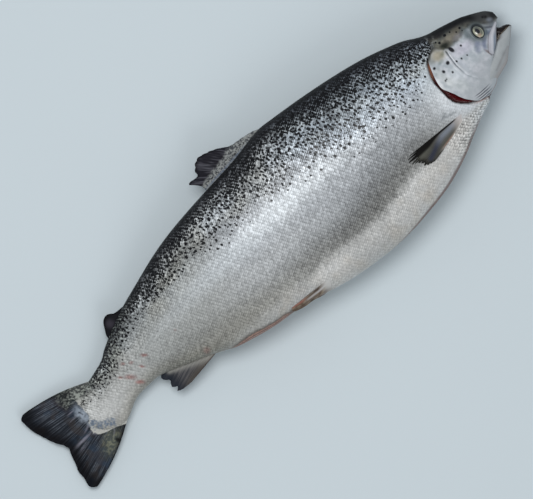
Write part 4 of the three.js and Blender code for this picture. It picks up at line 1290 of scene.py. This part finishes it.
def pectoral_paint(x, y, s, t, ray, skin):
    """A black leading edge and ray tips, a blue-grey diagonal, olive-grey between, and a root and rear
    edge that go over into the skin, with an orange tint."""
    paint = Paint(x, y, (90, 88, 80), (50, 49, 45), 0.8 * (1 - ray) * ease(t, 0.4, 0.8))
    diagonal, along = from_path(x, y, [(198, -72), (212, -66), (226, -61.5), (246, -60)])
    blue = mix((52, 57, 74), (140, 147, 158), ease(along, 0.25, 0.85))
    paint.over(blue, bell(diagonal, 3.8) * 0.85)
    paint.patch((98, 99, 92), 0.7, (197, -61.5), 11, 4.5, 0, 0.8)
    paint.over(mix(skin, (186, 166, 158), 0.35), ease(x, 238, 258))
    tint = mix(skin, (168, 122, 98), blot(x, y, (229, -71), 11, 4.5, 10, 0.9) * 0.8)
    paint.over(tint, ease(s, 0.62, 0.9) * fall(t, 0.6, 0.78))
    out = ease(t, 0.4, 0.7)
    front = fall(s, 0.06 + 0.12 * out, 0.14 + 0.14 * out) * ease(256 - x, 0, 8)
    paint.over((12, 11, 11), front * 0.95)
    return paint.over((18, 17, 16), ease(t, 0.86, 0.97) * 0.85)


def pelvic_paint(x, y, s, t, ray, skin):
    """Brown with a pale ray near the upper edge, a painted highlight, a dark line above it, painted
    shadow between the fin and the body, and another below.
    """
    paint = Paint(x, y, (146, 132, 114), (108, 92, 78), ease(noise(x, y * 2, 5, 71), -0.2, 0.5))
    front = ease(x, -34, -20)
    paint.over((150, 98, 88), bell(s - 0.06, 0.09) * (1 - front) * 0.8)
    # The pale ray: a painted highlight
    paint.over((190, 188, 190), bell(s - 0.24, 0.1) * front * 0.85)
    paint.over((96, 78, 68), bell(s - 0.46, 0.14) * 0.6 * fall(x, -16, -4))
    # The dark upper line: a painted shadow between the fin and the body
    paint.over((58, 52, 54), bell(s - 0.06, 0.06) * front * 0.8)
    paint.patch((14, 11, 11), 0.9, (-22.6, -98.8), 3.4, 1.6, 0, 0.7)
    merge = np.maximum(fall(t, 0.06, 0.3), ease(s, 0.55, 0.95) * fall(t, 0.3, 0.55))
    return paint.over(skin, merge)


DORSAL_ROOT = [(75, 84), (24, 79), (-27, 78)]
DORSAL_RIM = [
    (72, 95.5), (62, 99.4), (49, 102), (31, 104.9), (24.8, 108.4), (17.4, 113), (9, 116.8), (0.6, 119.5),
    (-4, 120.8), (-8.7, 120.6), (-13.4, 118.8), (-16.2, 116.6), (-20.8, 111.2), (-23.2, 104.8),
    (-30, 105.4), (-37.6, 104.8), (-32.5, 99), (-27.5, 93), (-26.6, 88),
]
DORSAL_BASE = through([(-35, 85), (-13.4, 87.4), (11.8, 89.3), (39.7, 92.1), (58.4, 94.4), (75, 96)])
DORSAL_BEIGE = through([(-35, 3.5), (-13, 7), (10, 9), (25, 12), (40, 16), (75, 20)])
# Black dashes on the dorsal fin: place, half length, half height
DORSAL_DASHES = [
    (-2.2, 92.1, 1.5, 0.8), (-10.6, 90.7, 2.0, 0.6), (28.5, 93.4, 2.2, 1.3), (37.4, 92.3, 1.5, 0.7),
    (45.3, 95.8, 1.3, 0.8), (34.1, 96.5, 1.2, 0.7), (24.4, 99.5, 1.2, 0.8), (41.1, 97.5, 1.5, 0.6),
    (51.8, 96.4, 1.0, 0.6), (16, 95.3, 1.6, 0.8), (5, 96.5, 1.6, 0.8), (-17, 91, 1.4, 0.6),
]
# Pale streaks on the tail fin: place, half length, half height, turn, strength
PALE_STREAKS = [
    ((-345, -35), 14, 1.6, 2, 0.5), ((-328, -27.5), 6, 1.0, 12, 0.4), ((-331, -0.5), 4, 0.9, 0, 0.45),
    ((-309.5, -54.5), 6.5, 0.8, 42, 0.7), ((-324, -38), 3.5, 2.2, 0, 0.4), ((-334, -8), 5, 0.7, 3, 0.25),
    ((-318, -57), 4, 0.7, 35, 0.5), ((-350, -42), 8, 0.8, 8, 0.25),
]
ADIPOSE_ROOT = [(-200, 43), (-218, 36), (-237, 28)]
ADIPOSE_RIM = [
    (-197, 51), (-205, 51.5), (-210.3, 52.5), (-213, 54.5), (-217.3, 56.8), (-222.5, 56.2),
    (-226.8, 53.1), (-231.1, 46.2), (-235, 39), (-236, 33.5),
]
ANAL_ROOT = [(-141, -66), (-180, -48), (-216, -35)]
ANAL_RIM = [
    (-198, -73), (-211, -72), (-217.8, -69.3), (-214, -65.5), (-219, -61.5), (-218, -57.5),
    (-215.5, -53.5), (-220, -49), (-221.5, -44.5), (-218, -40.5),
]
CAUDAL_ROOT = [(-276, 6.5), (-276, -17), (-276, -47)]
CAUDAL_RIM = [
    (-368, 37.2), (-376, 37.4), (-380.5, 34.6), (-381.2, 27), (-379.6, 15), (-375.6, 0.7), (-370, -13.8),
    (-362, -28), (-364.6, -37), (-369, -50), (-372.4, -59), (-373.2, -70), (-374.6, -81), (-369, -87.2),
    (-362, -86.6),
]

# Pieces

pieces = [
    *(trunk_side("trunk_" + name, side) for name, side in SIDES.items()),
    head_shell(),
    closed_loft("lower_jaw", jaw, 308, 380, 110, 130, HEAD, "head", jaw_relief, jaw_paint),
    closed_loft("tongue", tongue_loft, 345, 379, 50, 48, MOUTH, "mouth", tongue_relief, tongue_paint),
]
for name, side in SIDES.items():
    pieces += [
        eyeball("eye_" + name, side),
        gill_comb("gills_" + name, side),
        plate("maxilla_" + name, MAXILLA_TOP, MAXILLA_LOW, 70, 24, side, maxilla_rise, 1.2, HEAD, "head",
              maxilla_paint),
        paired_fin("pectoral_fin_" + name, PECTORAL_ROOT, PECTORAL_RIM, 170, 90, side, pectoral_rise, 12,
                   lambda s: 0.04 + 0.1 * fall(s, 0.25, 0.4), pectoral_paint),
        paired_fin("pelvic_fin_" + name, PELVIC_ROOT, PELVIC_RIM, 80, 60, side, pelvic_rise, 7,
                   through(0.03), pelvic_paint),
    ]
pieces += [
    teeth("lower_teeth", np.linspace(357, 376, 11), lambda x: jaw.top(x) - 0.6,
          lambda x: 0.72 * jaw.half(x), 1),
    teeth("upper_teeth", np.linspace(353, 370, 10), lambda x: body.bottom(x) + 0.6,
          lambda x: 0.6 * body.half(x), -1),
    fin("dorsal_fin", DORSAL_ROOT, DORSAL_RIM, 300, 80, (4, 1.0), 5, 0.8, 17, dorsal_paint, fray=0.02,
        lean=1.4),
    fin("adipose_fin", ADIPOSE_ROOT, ADIPOSE_RIM, 90, 40, (7, 3), 1, 0, 0, adipose_paint),
    fin("anal_fin", ANAL_ROOT, ANAL_RIM, 260, 70, (4, 1.0), 3, 0.7, 14, anal_paint, fray=0.01),
    fin("caudal_fin", CAUDAL_ROOT, CAUDAL_RIM, 420, 110, (7.5, 1.1), 3, 2.2, 32, caudal_paint, swell=4.5),
]

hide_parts("salmon")
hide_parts("salmon")


# Floor, light and camera

FLOOR_COLOUR, SKY_COLOUR = (0.66, 0.74, 0.78, 1.0), (0.92, 0.96, 1.0, 1.0)
IMAGE_CENTRE_ON_FISH, IMAGE_WIDTH_ON_FISH = (-21.9, -17.3), 645.5
FISH_TURN = np.radians(43)
VIEWED_HEIGHT = 45.0
LENS, SENSOR = 1200.0, 36.0


def floor():
    """A square of 6 m at height 0, on the stage."""
    mesh = bpy.data.meshes.new("floor")
    mesh.from_pydata([(-3, -3, 0), (3, -3, 0), (3, 3, 0), (-3, 3, 0)], [], [(0, 1, 2, 3)])
    mesh.materials.append(Shade("floor_paint", Roughness=0.7).surface(Base_Color=FLOOR_COLOUR))
    made = placed("floor", mesh)


def area_light(name, place, size, power):
    """A round lamp that shines at the fish's middle."""
    data = bpy.data.lights.new(name, "AREA")
    data.shape, data.size, data.energy = "DISK", size, power
    made = placed(name, data)
    made.location = place
    made.rotation_euler = (Vector((0, 0, 0.05)) - Vector(place)).to_track_quat("-Z", "Y").to_euler()


def world(strength):
    """A sky of one colour."""
    made = bpy.data.worlds.new("studio")
    made.use_nodes = True
    background = made.node_tree.nodes["Background"].inputs
    background["Color"].default_value = SKY_COLOUR
    background["Strength"].default_value = strength
    bpy.context.scene.world = made


def camera():
    """Straight above the fish, turned so that the fish lies across the picture as in the photograph."""
    data = bpy.data.cameras.new("camera")
    data.lens, data.sensor_width = LENS, SENSOR
    made = placed("camera", data)
    distance = IMAGE_WIDTH_ON_FISH * LENS / SENSOR
    made.location = [value * MM for value in (*IMAGE_CENTRE_ON_FISH, VIEWED_HEIGHT + distance)]
    made.rotation_euler = (0, 0, -FISH_TURN)
    bpy.context.scene.camera = made


floor()
world(strength=0.38)
area_light("key_light", place=(0.03, 0.66, 2.6), size=1.3, power=30)
area_light("fill_light", place=(-0.6, -1.8, 1.8), size=1.5, power=10)
camera()
bpy.context.scene.view_settings.view_transform = "Standard"
